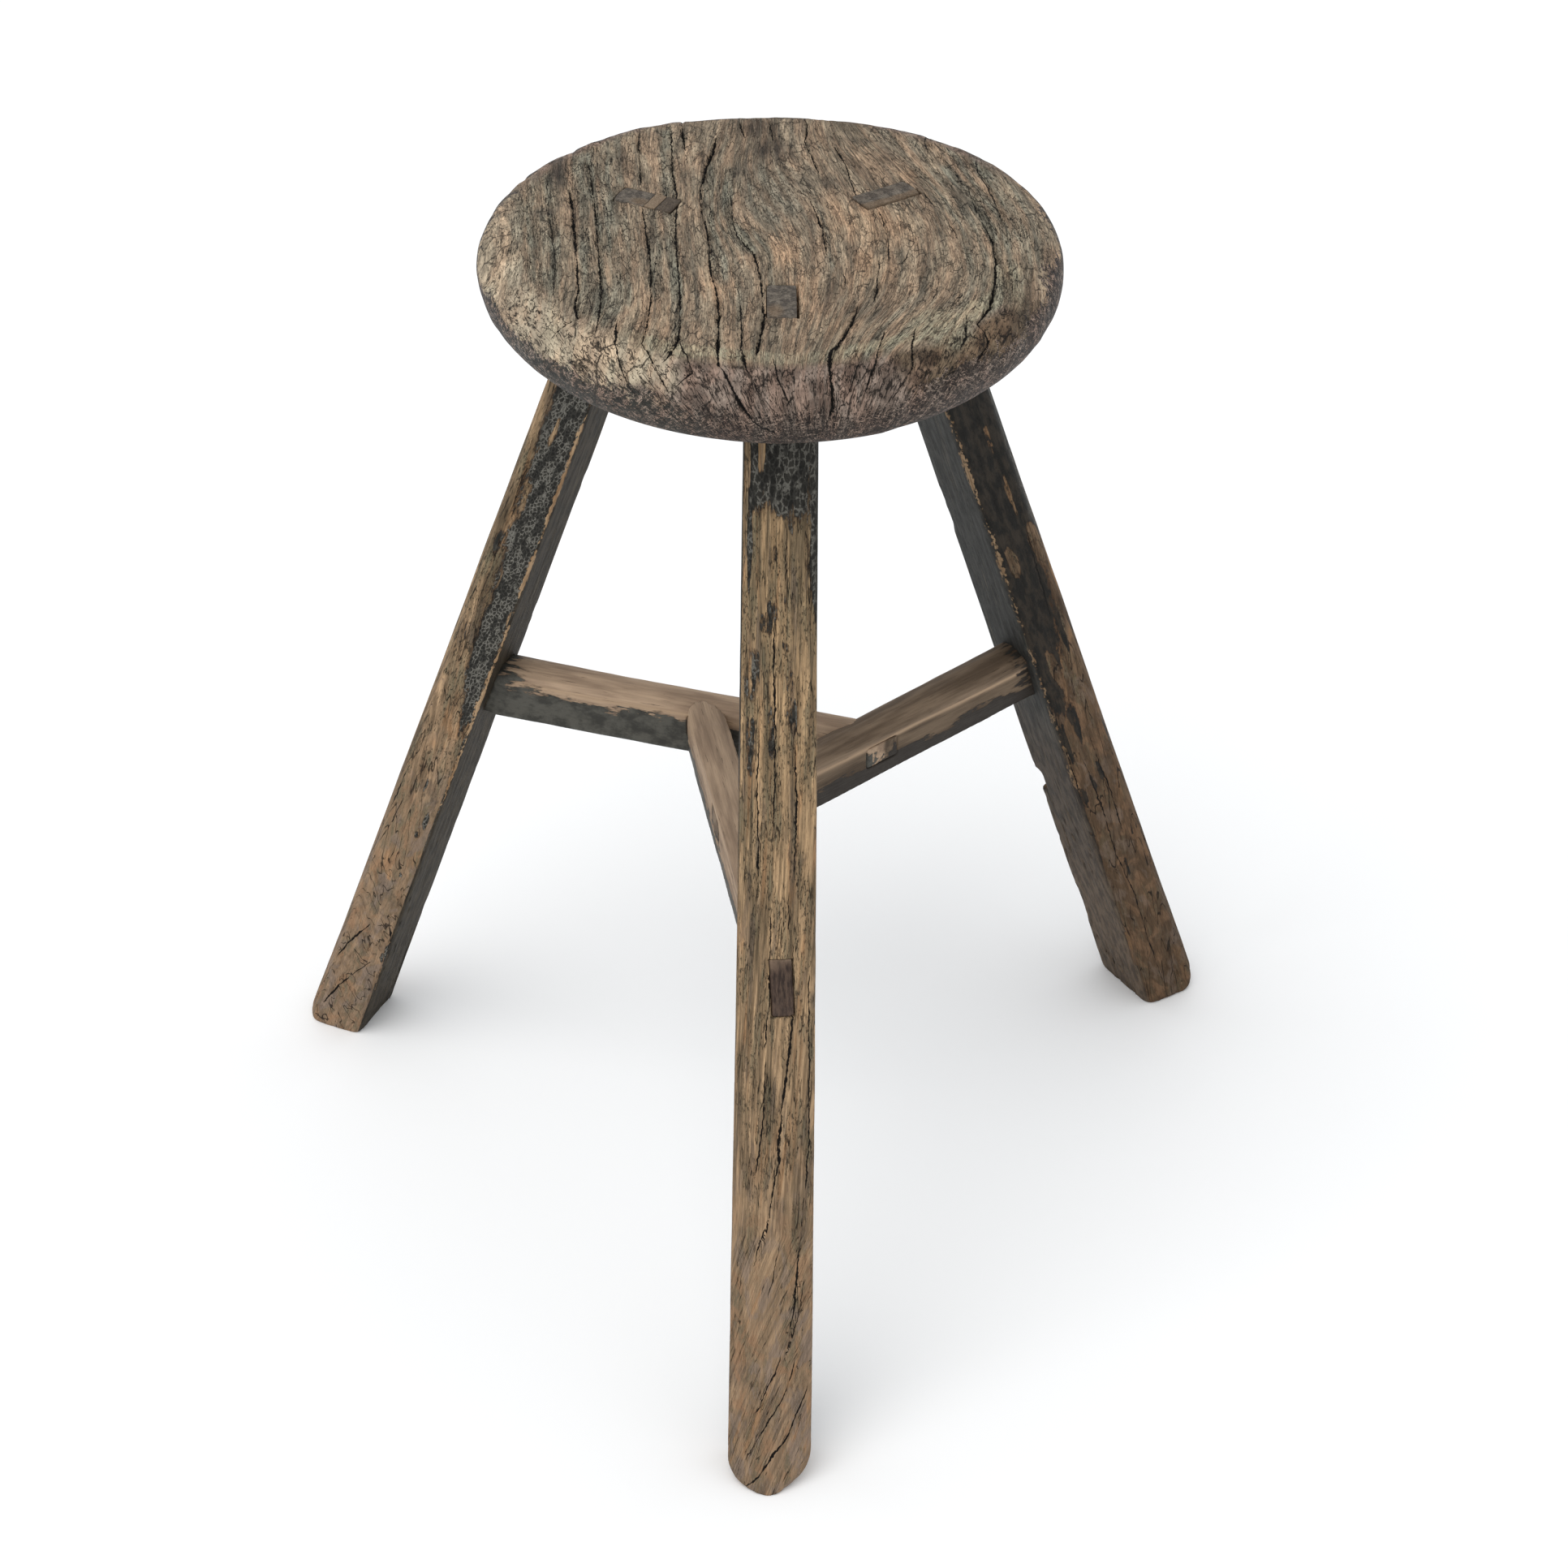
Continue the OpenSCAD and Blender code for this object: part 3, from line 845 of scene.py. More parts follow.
def seat_fields(points):
    """Everything that both the relief and the material of the seat are made from."""
    x, y, z = points.T
    spread, flat = seat_spread(points)
    radius = np.hypot(x, y)
    azimuth = np.degrees(np.arctan2(y, x)) % 360
    wander = 1.2 * layered(points, (14, 40, 20), 301, 2)
    ring = ring_number(x + wander, y)
    loops = smooth(x, -102, -114) * window(azimuth, 150, 206, 10)
    ring_depth = np.hypot(x - PITH_X, z - PITH_Z) + 1.5 * layered(points, (9, 22, 9), 305, 2)
    ring = ring * (1 - loops) + (30 - 0.95 * ring_depth) * loops
    down = SEAT_H - z
    ring_at = np.stack([ring, y, down], 1)
    eroded = np.zeros(len(points))
    for number, half, y0, y1, strength in ERODED_RINGS:
        reach = half * (1 + 0.35 * noise(np.column_stack([y, y * 0 + number, y * 0]), 13, 311))
        band = smooth(np.abs(ring - number), reach + 0.9, reach - 0.9)
        eroded = np.maximum(eroded, strength * band * window(y, y0, y1, 12))
    end_face = smooth(np.abs(y) / np.maximum(radius, 1), 0.35, 0.62) * smooth(flat, 117, 123)
    end_face = np.maximum(end_face, window(azimuth, 203, 232, 8) * smooth(flat, 112, 122))
    eroded = eroded * (1 - smooth(flat, 116, 126))
    burl = smooth(np.hypot((x - 2) / 17, (y - 36) / 34), 1.15, 0.6)
    return {
        "spread": spread, "flat": flat, "azimuth": azimuth, "ring_at": ring_at,
        "eroded": eroded, "end_face": end_face, "burl": burl, "loops": loops,
    }


def seat_relief(points):
    """How far each point of the seat's skin moves along its normal, in mm."""
    f = seat_fields(points)
    _, _, groove = crack_channels(f["spread"], SEAT_CRACKS)
    top = smooth(points[:, 2], UNDER_Z + 3, UNDER_Z + 14)
    relief = -0.45 + 0.5 * layered(points, (60, 60, 40), 321, 2)
    relief += (1 - f["end_face"]) * 0.34 * noise(f["ring_at"], (2.4, 60, 40), 331)
    relief += (1 - f["end_face"]) * 0.2 * noise(f["ring_at"], (1.7, 12, 12), 337)
    relief -= 0.95 * f["eroded"] * (0.75 + 0.5 * noise(f["ring_at"], (2.2, 9, 9), 341))
    relief += 0.25 * f["burl"] * layered(points, (3.4, 4.5, 4), 351, 2)
    relief += 0.55 * f["end_face"] * layered(points, (9, 9, 6), 361, 3)
    relief -= groove
    return relief * top


# Hand-cut outline: how far the rim stands out of round, against direction
SEAT_OUTLINE = (
    (0, 1.9), (12, 2.6), (30, 4.0), (42, 4.2), (55, 3.0), (75, 0.2), (90, -0.6), (98, -0.3), (107, 0.7),
    (109, 2.0), (120, 2.6), (131.5, 3.1), (133, 2.0), (136, 3.0), (146.5, 3.6), (148, 2.2), (151, 3.3),
    (172, 2.5), (185, 1.2), (200, -0.6), (215, -1.6), (235, -0.9), (256, 0.5), (265, 1.6), (290, 2.0),
    (294, 0.6), (315, -0.6), (332, -0.4), (345, 0.7), (360, 1.9),
)


def shape_seat(points):
    """Pushes the rim out to its outline, and squashes the seat from front to back."""
    moved = points.copy()
    radius = np.hypot(points[:, 0], points[:, 1])
    azimuth = np.degrees(np.arctan2(points[:, 1], points[:, 0])) % 360
    knots = np.array(SEAT_OUTLINE)
    out = np.interp(azimuth, knots[:, 0], knots[:, 1]) * smooth(radius, 88, 126)
    moved[:, :2] *= (1 + out / np.maximum(radius, 1))[:, None]
    moved[:, 1] *= SEAT_SQUASH
    return moved


def make_seat():
    piece, normals = seat_mesh()
    points = points_of(piece)
    moved = shape_seat(points + normals * seat_relief(points)[:, None])
    set_points(piece, moved)
    cutters = []
    deep = (-LEG_D / 2 - TENON_ROOM[0], LEG_D / 2 + TENON_ROOM[1])
    for i, (low, high) in enumerate(TENON_GAP):
        across = (-TENON_W / 2 - low, TENON_W / 2 + high)
        cutters.append(cutter_box(leg_place, i, deep, across, (UNDER_Z - 6, SEAT_H + 6)))
    cut(piece, *cutters)
    return piece


# ---- materials -----------------------------------------------------------------------------------

# Brightness that the wood itself needs, as a share of its reading under the studio's light
STUDIO_GAIN = 0.9


def tone(red, green, blue):
    """The wood's own linear colour, from 0-255 readings of it under the studio's light."""
    linear = []
    for value in (red, green, blue):
        value = value / 255
        linear.append(STUDIO_GAIN * (value / 12.92 if value < 0.04 else ((value + 0.055) / 1.055) ** 2.4))
    return (*linear, 1.0)


class Field:
    """A number, vector or colour that a node gives at each point, with plain sums for the numbers."""

    def __init__(self, shade, socket):
        self.shade = shade
        self.socket = socket

    def __add__(self, other):
        return self.shade.math("ADD", self, other)

    def __mul__(self, other):
        return self.shade.math("MULTIPLY", self, other)

    def __sub__(self, other):
        return self.shade.math("SUBTRACT", self, other)

    def __rsub__(self, other):
        return self.shade.math("SUBTRACT", other, self)


class Shade:
    """One node material, built with short calls. A value is a Field or a plain number or colour."""

    def __init__(self, name):
        self.material = bpy.data.materials.new(name)
        self.material.use_nodes = True
        self.nodes = self.material.node_tree.nodes
        self.links = self.material.node_tree.links
        self.shader = self.nodes["Principled BSDF"]

    def put(self, socket, value):
        """Links a field to the socket, or sets a plain value on it."""
        if isinstance(value, Field):
            self.links.new(value.socket, socket)
        else:
            socket.default_value = value

    def node(self, kind, output, inputs, **settings):
        """The output of a new node with these settings, its inputs fed by name or number."""
        node = self.nodes.new("ShaderNode" + kind)
        for name, value in settings.items():
            setattr(node, name, value)
        for name, value in inputs.items():
            self.put(node.inputs[name], value)
        return Field(self, node.outputs[output])

    def number(self, name):
        """A stored number."""
        return self.node("Attribute", "Fac", {}, attribute_name=name)

    def place(self, name):
        """Three stored numbers."""
        return self.node("Attribute", "Vector", {}, attribute_name=name)

    def parts(self, vector):
        return [self.node("SeparateXYZ", axis, {0: vector}) for axis in "XYZ"]

    def math(self, kind, *values):
        return self.node("Math", 0, dict(enumerate(values)), operation=kind)

    def most(self, first, *others):
        """The greatest of some numbers."""
        for other in others:
            first = self.math("MAXIMUM", first, other)
        return first

    def vector(self, kind, a, b):
        return self.node("VectorMath", 0, {0: a, 1: b}, operation=kind)

    def smooth(self, value, low, high, to_low=0.0, to_high=1.0):
        """to_low at low, to_high at high, smooth between; low may be above high."""
        inputs = {"Value": value, "From Min": low, "From Max": high, "To Min": to_low, "To Max": to_high}
        return self.node("MapRange", "Result", inputs, interpolation_type="SMOOTHSTEP")

    def sway(self, field, by, half=0.2):
        """A noise field's middle, from 0.5 - half to 0.5 + half, as a shift from -by to by."""
        return self.smooth(field, 0.5 - half, 0.5 + half, -by, by)

    def mix(self, share, a, b, kind="MIX"):
        """Colour a, or b where share is 1."""
        inputs = {"Factor": share, "A": a, "B": b}
        return self.node("Mix", "Result", inputs, data_type="RGBA", blend_type=kind)

    def tones(self, value, low, high, dark, light):
        """One wood tone at low turning into another at high."""
        return self.mix(self.smooth(value, low, high), tone(*dark), tone(*light))

    def tinted(self, colour, factor):
        return self.mix(1.0, colour, factor, "MULTIPLY")

    def line(self, field, wide, thin):
        """1 along the lines where a noise field crosses its middle."""
        return self.smooth(self.math("ABSOLUTE", field - 0.5), wide, thin)

    def blend(self, share, a, b):
        """Number a, or b where share is 1."""
        return self.node("Mix", "Result", {"Factor": share, "A": a, "B": b})

    def noise(self, place, size, layers=3.0, rough=0.55, bend=0.0):
        """Noise from 0 to 1 whose blobs are about size mm long on each axis."""
        inputs = {
            "Vector": self.vector("DIVIDE", place, size), "Scale": 1.0,
            "Detail": layers, "Roughness": rough, "Distortion": bend,
        }
        return self.node("TexNoise", "Fac", inputs)

    def cells(self, place, size):
        """Distance to the nearest border of cells about size mm long on each axis."""
        inputs = {"Vector": self.vector("DIVIDE", place, size), "Scale": 1.0}
        return self.node("TexVoronoi", "Distance", inputs, feature="DISTANCE_TO_EDGE")

    def bump(self, height, distance, strength=1.0, below=None):
        """Normal bent by a height of up to distance mm, over the normal below."""
        inputs = {"Strength": strength, "Distance": distance * MM, "Height": height}
        if below is not None:
            inputs["Normal"] = below
        return self.node("Bump", "Normal", inputs)

    def finish(self, colour, roughness, normal, shine=0.2):
        self.put(self.shader.inputs["Base Color"], colour)
        self.put(self.shader.inputs["Roughness"], roughness)
        self.put(self.shader.inputs["Normal"], normal)
        self.shader.inputs["Specular IOR Level"].default_value = shine
        return self.material


def crack_mask(s, jag):
    """Share of crack at a point, from the stored distances and half widths."""
    apart = s.parts(s.place("crack_apart"))
    half = s.parts(s.place("crack_half"))
    crack = 0.0
    for k in range(3):
        limit = half[k] * s.smooth(jag, 0.3, 0.7, 0.35, 1.3)
        over = s.math("ABSOLUTE", apart[k]) - limit
        crack = s.most(crack, s.smooth(over, 0.1, -0.08) * s.smooth(half[k], 0.03, 0.15))
    return crack


# ---- surface of the seat -------------------------------------------------------------------------

# Soft patches in the seat top: x, y, reach across and along the grain, strength
DARK_PATCHES = (
    (-2, 104, 13, 20, 0.9), (3, 80, 12, 14, 1.0), (-8, 62, 8, 10, 0.5), (46, 91, 14, 6, 0.6),
    (57, 77, 7, 13, 0.7), (30, 47, 12, 9, 0.7), (18, 46, 8, 9, 0.5), (58, 46, 14, 8, 0.4),
    (-94, 62, 6, 20, 1.0), (-101, 24, 6, 7, 1.0), (-90, 29, 4, 6, 0.7), (-53, 6, 4, 22, 0.7),
    (-53, 20, 4, 10, 0.6), (22, -60, 7, 16, 0.5), (38, -74, 12, 8, 0.5), (88, 42, 7, 30, 0.6),
    (-63, 80, 4, 9, 0.6), (72, 76, 9, 12, 0.4), (98, -58, 9, 20, 0.5),
)
BRIGHT_PATCHES = (
    (45, 8, 16, 26, 0.8), (42, -34, 14, 26, 0.6), (8, -60, 16, 24, 0.6), (-28, -44, 4, 20, 0.7),
    (60, 4, 10, 22, 0.5), (2, -26, 10, 18, 0.7), (30, 12, 8, 22, 0.6), (-50, -78, 6, 24, 0.4),
    (-61, -74, 5, 22, 0.4), (26, -88, 14, 12, 0.3), (101, -30, 4, 30, 0.7), (66, 52, 6, 10, 0.5),
    (-22, -60, 5, 30, 0.4),
)


def patches(x, y, spots):
    """Strength of the strongest soft patch at each point."""
    total = np.zeros(len(x))
    for cx, cy, rx, ry, strength in spots:
        total = np.maximum(total, strength * smooth(np.hypot((x - cx) / rx, (y - cy) / ry), 1.3, 0.2))
    return total


def seat_attributes(piece):
    """Stores what the seat's material reads, at each vertex."""
    points = points_of(piece)
    points[:, 1] /= SEAT_SQUASH
    f = seat_fields(points)
    x, y, z = points.T
    distance, width, _ = crack_channels(f["spread"], SEAT_CRACKS)
    azimuth, flat = f["azimuth"], f["flat"]
    warp = layered(points, (16, 16, 12), 401, 3)
    height = z - PITH_Z
    radial = np.hypot(x - PITH_X, height)
    turn = np.arctan2(x - PITH_X, height) * RADIAL_SPREAD
    rough_x, rough_y = x + 5 * warp, y + 10 * warp
    # Pale crust along the front lip and in two spots at the right front
    lip = window(azimuth, 238, 336, 10) * window(flat + 5 * warp, 110, 116, 3) * (1.0 + 0.7 * warp)
    spots = smooth(np.hypot((x - 68) / 17, (y + 88) / 16), 1.1, 0.5)
    spots = np.maximum(spots, 0.8 * smooth(np.hypot((x - 100) / 9, (y + 52) / 18), 1.1, 0.5))
    tan_end = window(azimuth + 8 * warp, 194, 240, 9) * smooth(flat + 4 * warp, 110, 119)
    # How far down the rim the lacquer starts: higher up round the right and the back
    edge = 29.0 + 3.5 * np.cos(np.radians(azimuth - 285)) - 6 * window(azimuth, 300, 345, 12)
    edge = edge - 8 * window(azimuth, 345, 360, 12) - 8 * window(azimuth, 0, 165, 12)
    down = flat - RIM_START + 6 * warp
    store(
        piece,
        ring_at=f["ring_at"],
        pith_at=np.stack([turn, radial, y], 1),
        crack_apart=distance,
        crack_half=width,
        eroded=f["eroded"],
        burl=f["burl"],
        end_face=f["end_face"],
        dark=patches(rough_x, rough_y, DARK_PATCHES),
        bright=patches(rough_x, rough_y, BRIGHT_PATCHES),
        pale=np.maximum(lip, spots),
        tan_end=np.maximum(tan_end, 0.35 * f["loops"]),
        olive=window(azimuth, 200, 246, 12),
        scored=0.4 + 0.6 * window(azimuth, 200, 345, 20),
        lacquer=np.clip(down - edge, -9, 9),
        brown_rim=window(azimuth + 8 * warp, 298, 356, 8) * smooth(flat + 5 * warp, 116, 124),
    )


def board_colour(s, ring_at, broad, eroded, burl):
    """Tan boards, orange-tan where rubbed, grey-green where they eroded and in the burl."""
    bright = s.number("bright")
    body = s.tones(broad, 0.36, 0.62, (141, 125, 106), (181, 159, 134))
    body = s.mix(bright, body, s.tones(broad, 0.38, 0.58, (172, 144, 117), (210, 177, 144)))
    rings = s.smooth(s.noise(ring_at, (2.1, 90, 40), 3), 0.50, 0.62, 0, 0.55)
    rings = rings * s.smooth(bright, 0.1, 0.8, 1.0, 0.35)
    body = s.mix(rings, body, tone(98, 91, 80))
    green = s.noise(ring_at, (5, 24, 20), 3)
    lowered = s.tones(green, 0.35, 0.65, (99, 95, 83), (160, 155, 137))
    body = s.mix(eroded * 0.85, body, lowered)
    burl_tone = s.tones(green, 0.4, 0.6, (104, 96, 83), (164, 154, 135))
    return s.mix(burl * 0.7, body, burl_tone)


def end_colour(s, body, pith_at, broad, end_face):
    """The body with end grain on the rim: browner at the right, bleached at the left end."""
    mottle = s.smooth(s.noise(pith_at, (9, 9, 9), 4), 0.36, 0.64)
    end_tone = s.mix(mottle, tone(108, 92, 82), tone(152, 133, 120))
    brown_tone = s.mix(mottle, tone(74, 60, 48), tone(116, 98, 79))
    body = s.mix(end_face, body, s.mix(s.number("brown_rim"), end_tone, brown_tone))
    bleached = s.tones(broad, 0.35, 0.65, (168, 151, 130), (193, 176, 151))
    return s.mix(s.number("tan_end"), body, bleached)


def rim_varnish(s, pith_at, cross):
    """Share and colour of the lacquer left on the lower rim, scratched through to the wood."""
    edge = s.number("lacquer") + s.sway(cross, 5.0)
    scored = s.noise(pith_at, (6.5, 0.8, 3), 3, 0.6, 0.8)
    flaked = s.noise(pith_at, (5, 3.2, 5), 4, 0.7, 1.0)
    scratch = s.smooth(s.noise(pith_at, (0.7, 6, 2.2), 3, 0.6, 0.8), 0.57, 0.61)
    scratch = s.most(scratch, s.smooth(scored, 0.57, 0.61))
    for size in ((6, 2.6, 4), (3.2, 7, 3)):
        scratch = s.most(scratch, s.line(s.noise(pith_at, size, 3, 0.6, 0.6), 0.016, 0.007))
    scratch = scratch * s.smooth(flaked, 0.42, 0.52, 0.25, 1.0)
    scratch = s.most(scratch, s.smooth(flaked, 0.6, 0.64, 0.0, 0.6))
    scratch = scratch * s.smooth(edge, 12.0, 7.0, 0.3, 0.95) * s.number("scored")
    varnish = s.mix(scratch, tone(38, 29, 24), tone(156, 136, 122))
    olive = s.number("olive") * s.smooth(scratch, 0.5, 0.1)
    return s.smooth(edge, -1.6, 0.6), s.mix(olive, varnish, tone(47, 46, 41))


def seat_shading(s, body, ring_at, pith_at, end_face, figure, fibre):
    """The body with the light and dark of its figure, and a faint cool and warm tint."""
    shade = s.smooth(figure, 0.30, 0.70, s.blend(end_face, 0.68, 0.76), s.blend(end_face, 1.52, 1.38))
    coarse = s.noise(ring_at, (1.8, 22, 10), 3, 0.6)
    coarse = s.blend(end_face, coarse, s.noise(pith_at, (3.5, 11, 6), 3, 0.6, 0.6))
    coarse = s.smooth(coarse, 0.34, 0.66, s.blend(end_face, 0.84, 0.9), s.blend(end_face, 1.16, 1.1))
    body = s.tinted(body, shade * coarse * s.smooth(fibre, 0.3, 0.7, 0.84, 1.14))
    tint = s.smooth(s.noise(ring_at, (6, 40, 20), 4, 0.6), 0.40, 0.60)
    return s.tinted(body, s.mix(tint, (0.96, 1.0, 1.01, 1), (1.06, 0.99, 0.95, 1)))


def check_net(s, ring_at, pith_at, end_face, lacquer, jag, cross):
    """A net of short checks: small bricks on the top, larger plates on the end grain."""
    shift = s.vector("MULTIPLY", jag - 0.5, (1.6, 3.0, 3.0))
    bricks = s.cells(s.vector("ADD", ring_at, shift), (2.8, 9.0, 8))
    cover = s.smooth(s.noise(ring_at, (7, 15, 12), 2), 0.46, 0.58, 0.0, 0.75)
    bricks = s.smooth(bricks, 0.06, 0.015) * (1 - end_face) * cover
    shift = s.vector("MULTIPLY", cross - 0.5, (6.0, 6.0, 3.0))
    plates = s.cells(s.vector("ADD", pith_at, shift), (5.5, 15, 12))
    cover = s.smooth(s.noise(pith_at, (10, 10, 10), 2), 0.45, 0.57, 0.0, 0.9)
    cover = cover * s.smooth(lacquer, 0.9, 0.1, 0.3, 1.0)
    plates = s.smooth(plates, 0.045, 0.012) * end_face * cover
    return s.most(bricks, plates)


def hair_checks(s, ring_at, pith_at, end_face, eroded, lacquer, jag):
    """Thin checks along the grain of the top, and others down through the end grain."""
    checks = 0.0
    for size, low in (((0.9, 10, 8), 0.35), ((1.5, 17, 12), 0.5), ((3.1, 36, 20), 0.6)):
        hair = s.line(s.noise(ring_at, size, 3, 0.55), s.smooth(jag, 0.35, 0.7, 0.006, 0.022), 0.003)
        hair = hair * (1 - end_face) * s.smooth(eroded, 0.0, 0.5, low, 1.0)
        patch = (size[0] * 4, size[1] * 1.2, size[2] * 1.2)
        hair = hair * s.smooth(s.noise(ring_at, patch, 2), 0.42, 0.50)
        checks = s.most(checks, hair)
    for size in ((2.6, 24, 9), (5.5, 40, 14)):
        split = s.noise(pith_at, size, 3, 0.55, 0.3)
        split = s.line(split, s.smooth(jag, 0.35, 0.7, 0.006, 0.020), 0.003)
        split = split * s.smooth(lacquer, 0.9, 0.1, 0.3, 0.85)
        checks = s.most(checks, split * end_face)
    return checks


def seat_material():
    s = Shade("seat_weathered_elm")
    ring_at = s.place("ring_at")
    pith_at = s.place("pith_at")
    eroded = s.number("eroded")
    end_face = s.number("end_face")
    burl = s.number("burl")
    pale = s.number("pale")
    broad = s.noise(ring_at, (7, 45, 30), 4)
    # Fine figure: streaks along the grain, ragged pores in the eroded rings, grains in the burl
    streak = s.noise(ring_at, (0.6, 11, 6), 5, 0.66)
    pore = s.noise(ring_at, (0.85, 2.4, 2.0), 4, 0.7, 0.6)
    fibre = s.noise(ring_at, (0.3, 3.2, 2.0), 2)
    jag = s.noise(ring_at, (1.0, 1.3, 1.3), 3, 0.65)
    figure = s.blend(s.most(eroded, burl), streak, s.blend(0.6, streak, pore))
    # End grain: radial checks and ring lines round the pith
    spoke = s.noise(pith_at, (1.5, 19, 4.5), 4, 0.64, 0.8)
    hatch = s.noise(pith_at, (9, 0.9, 6), 3, 0.6)
    cross = s.noise(pith_at, (2.1875, 5, 5), 4, 0.7, 1.5)
    figure = s.blend(end_face, figure, s.blend(0.4, spoke, s.blend(0.5, hatch, cross)))
    body = board_colour(s, ring_at, broad, eroded, burl)
    body = end_colour(s, body, pith_at, broad, end_face)
    crusted = pale * s.smooth(pore, 0.40, 0.58, 0.25, 0.95)
    body = s.mix(crusted, body, tone(172, 162, 137))
    stained = s.number("dark") * s.smooth(broad, 0.3, 0.6, 1.0, 0.6)
    body = s.mix(stained, body, tone(78, 70, 63))
    lacquer, varnish = rim_varnish(s, pith_at, cross)
    body = s.mix(lacquer, body, varnish)
    body = seat_shading(s, body, ring_at, pith_at, end_face, figure, fibre)
    # Pores and short open checks
    hole = s.smooth(pore, 0.42, 0.36) * s.most(eroded, pale * 0.8, burl, 0.5)
    tick = s.smooth(s.noise(ring_at, (0.55, 6, 5), 3, 0.5), 0.36, 0.31) * (1 - end_face)
    check = s.smooth(spoke, 0.40, 0.35) * end_face * (1 - lacquer * 0.6)
    hole = s.most(hole, tick, check)
    net = check_net(s, ring_at, pith_at, end_face, lacquer, jag, cross)
    crack = s.most(crack_mask(s, jag), hair_checks(s, ring_at, pith_at, end_face, eroded, lacquer, jag))
    body = s.mix(hole * 0.82, body, tone(40, 35, 29))
    body = s.mix(s.most(crack, net), body, tone(19, 16, 13))
    height = figure - s.most(hole, net) * 0.5
    normal = s.bump(height, 1.0, 1.0)
    normal = s.bump(fibre * 0.4 - crack * 2.0, 0.5, 0.9, normal)
    return s.finish(body, s.blend(lacquer, 0.84, 0.58), normal)


# ---- surface of the legs -------------------------------------------------------------------------

# Place round a leg in mm from the middle of its outer face: at the outer and at the inner arrises
OUTER_TURN, INNER_TURN = 16.5, 38.5


def leg_turn(i, a, b, z):
    """Place round leg i, below 0 on the side where b is below 0."""
    swell = leg_swell(i, z)
    width, depth, crown_r = leg_section(i, z)
    half = width / 2 + swell
    deep = depth / 2 + swell
    crown_r = crown_r + swell
    side_a = deep - crown_r + np.sqrt(crown_r**2 - half**2)
    share = np.clip((side_a - a) / (side_a + deep), 0, 1)
    across = np.clip(np.abs(b) / half, 0, 1)
    turn = np.where(a > side_a, OUTER_TURN * across, OUTER_TURN + (INNER_TURN - OUTER_TURN) * share)
    turn = np.where(a < -deep + 0.9, INNER_TURN + OUTER_TURN * (1 - across), turn)
    return turn * np.sign(b)


# Height above which black lacquer is left, against the place round the leg
LACQUER_EDGE = (
    ((-55, -60), (-39, -60), (-38, 250), (-18, 330), (-16, 500), (-13.8, 500), (-13, 438), (-4, 441),
     (6, 437), (12, 436), (13.8, 400), (18, 385), (38, 250), (39, -60), (55, -60)),
    ((-55, -60), (-39, -60), (-37, 228), (-30, 262), (-24, 390), (-18, 440), (0, 478), (12, 480),
     (18, 462), (20.5, 385), (23.5, 325), (27, 252), (34, 208), (38, 226), (39, -60), (55, -60)),
    ((-55, -60), (-39, -60), (-37, 208), (-31, 214), (-24, 252), (-18, 292), (-12, 332), (-7, 425),
     (0, 468), (8, 440), (16, 350), (24, 290), (34, 235), (38, 225), (39, -60), (55, -60)),
)
# Lacquer left (+) or lost (-) elsewhere: turn, z, reach round, reach along, strength in mm
LACQUER_SPOTS = (
    ((-8.8, 464, 2.2, 13, -6), (-13.6, 420, 2.0, 19, 4), (-6, 391, 4.6, 6, 0.1), (-3, 397, 4, 6, 0.0),
     (1.5, 404, 4.5, 4, -0.6), (-2.2, 420, 1.4, 5, 0.8), (3.4, 383, 2.8, 5, 0.0), (4.8, 434, 1.3, 6, 1.2),
     (5, 369, 4, 9, -0.4), (16, 405, 2, 26, 4), (-11, 368, 4, 18, -0.6), (6, 352, 4, 16, -0.4),
     (-12, 335, 4, 20, -0.4), (-3, 344, 3.4, 16, -0.6)),
    ((22, 446, 3.0, 13, -5), (26.5, 395, 1.6, 12, -3), (23, 352, 3.4, 16, -1.0), (25, 300, 3, 14, -0.8),
     (19, 330, 3, 12, 0.2), (20.5, 275, 3, 10, 0.2), (33.5, 150, 1.6, 10, 4), (31, 137, 1.8, 4, 4),
     (28, 175, 1, 6, 3), (31, 112, 1.3, 3, 3), (37, 58, 1.3, 7, 3)),
    ((-31.5, 316, 4, 16, -4), (-22, 352, 1.6, 22, -1.6), (-24, 385, 2.4, 10, -1.2),
     (-18, 320, 4, 20, -4), (-20, 262, 2, 20, 4), (-30, 240, 3, 16, -4), (-28, 205, 2.4, 14, 4),
     (-35, 190, 2, 14, 4), (-24, 170, 2, 12, 4), (-30, 160, 1.6, 12, 3), (-36, 150, 1.4, 10, 4),
     (-14, 190, 1.5, 14, 3), (-28, 95, 1.4, 9, 3), (-20, 120, 1.2, 8, 2)),
)
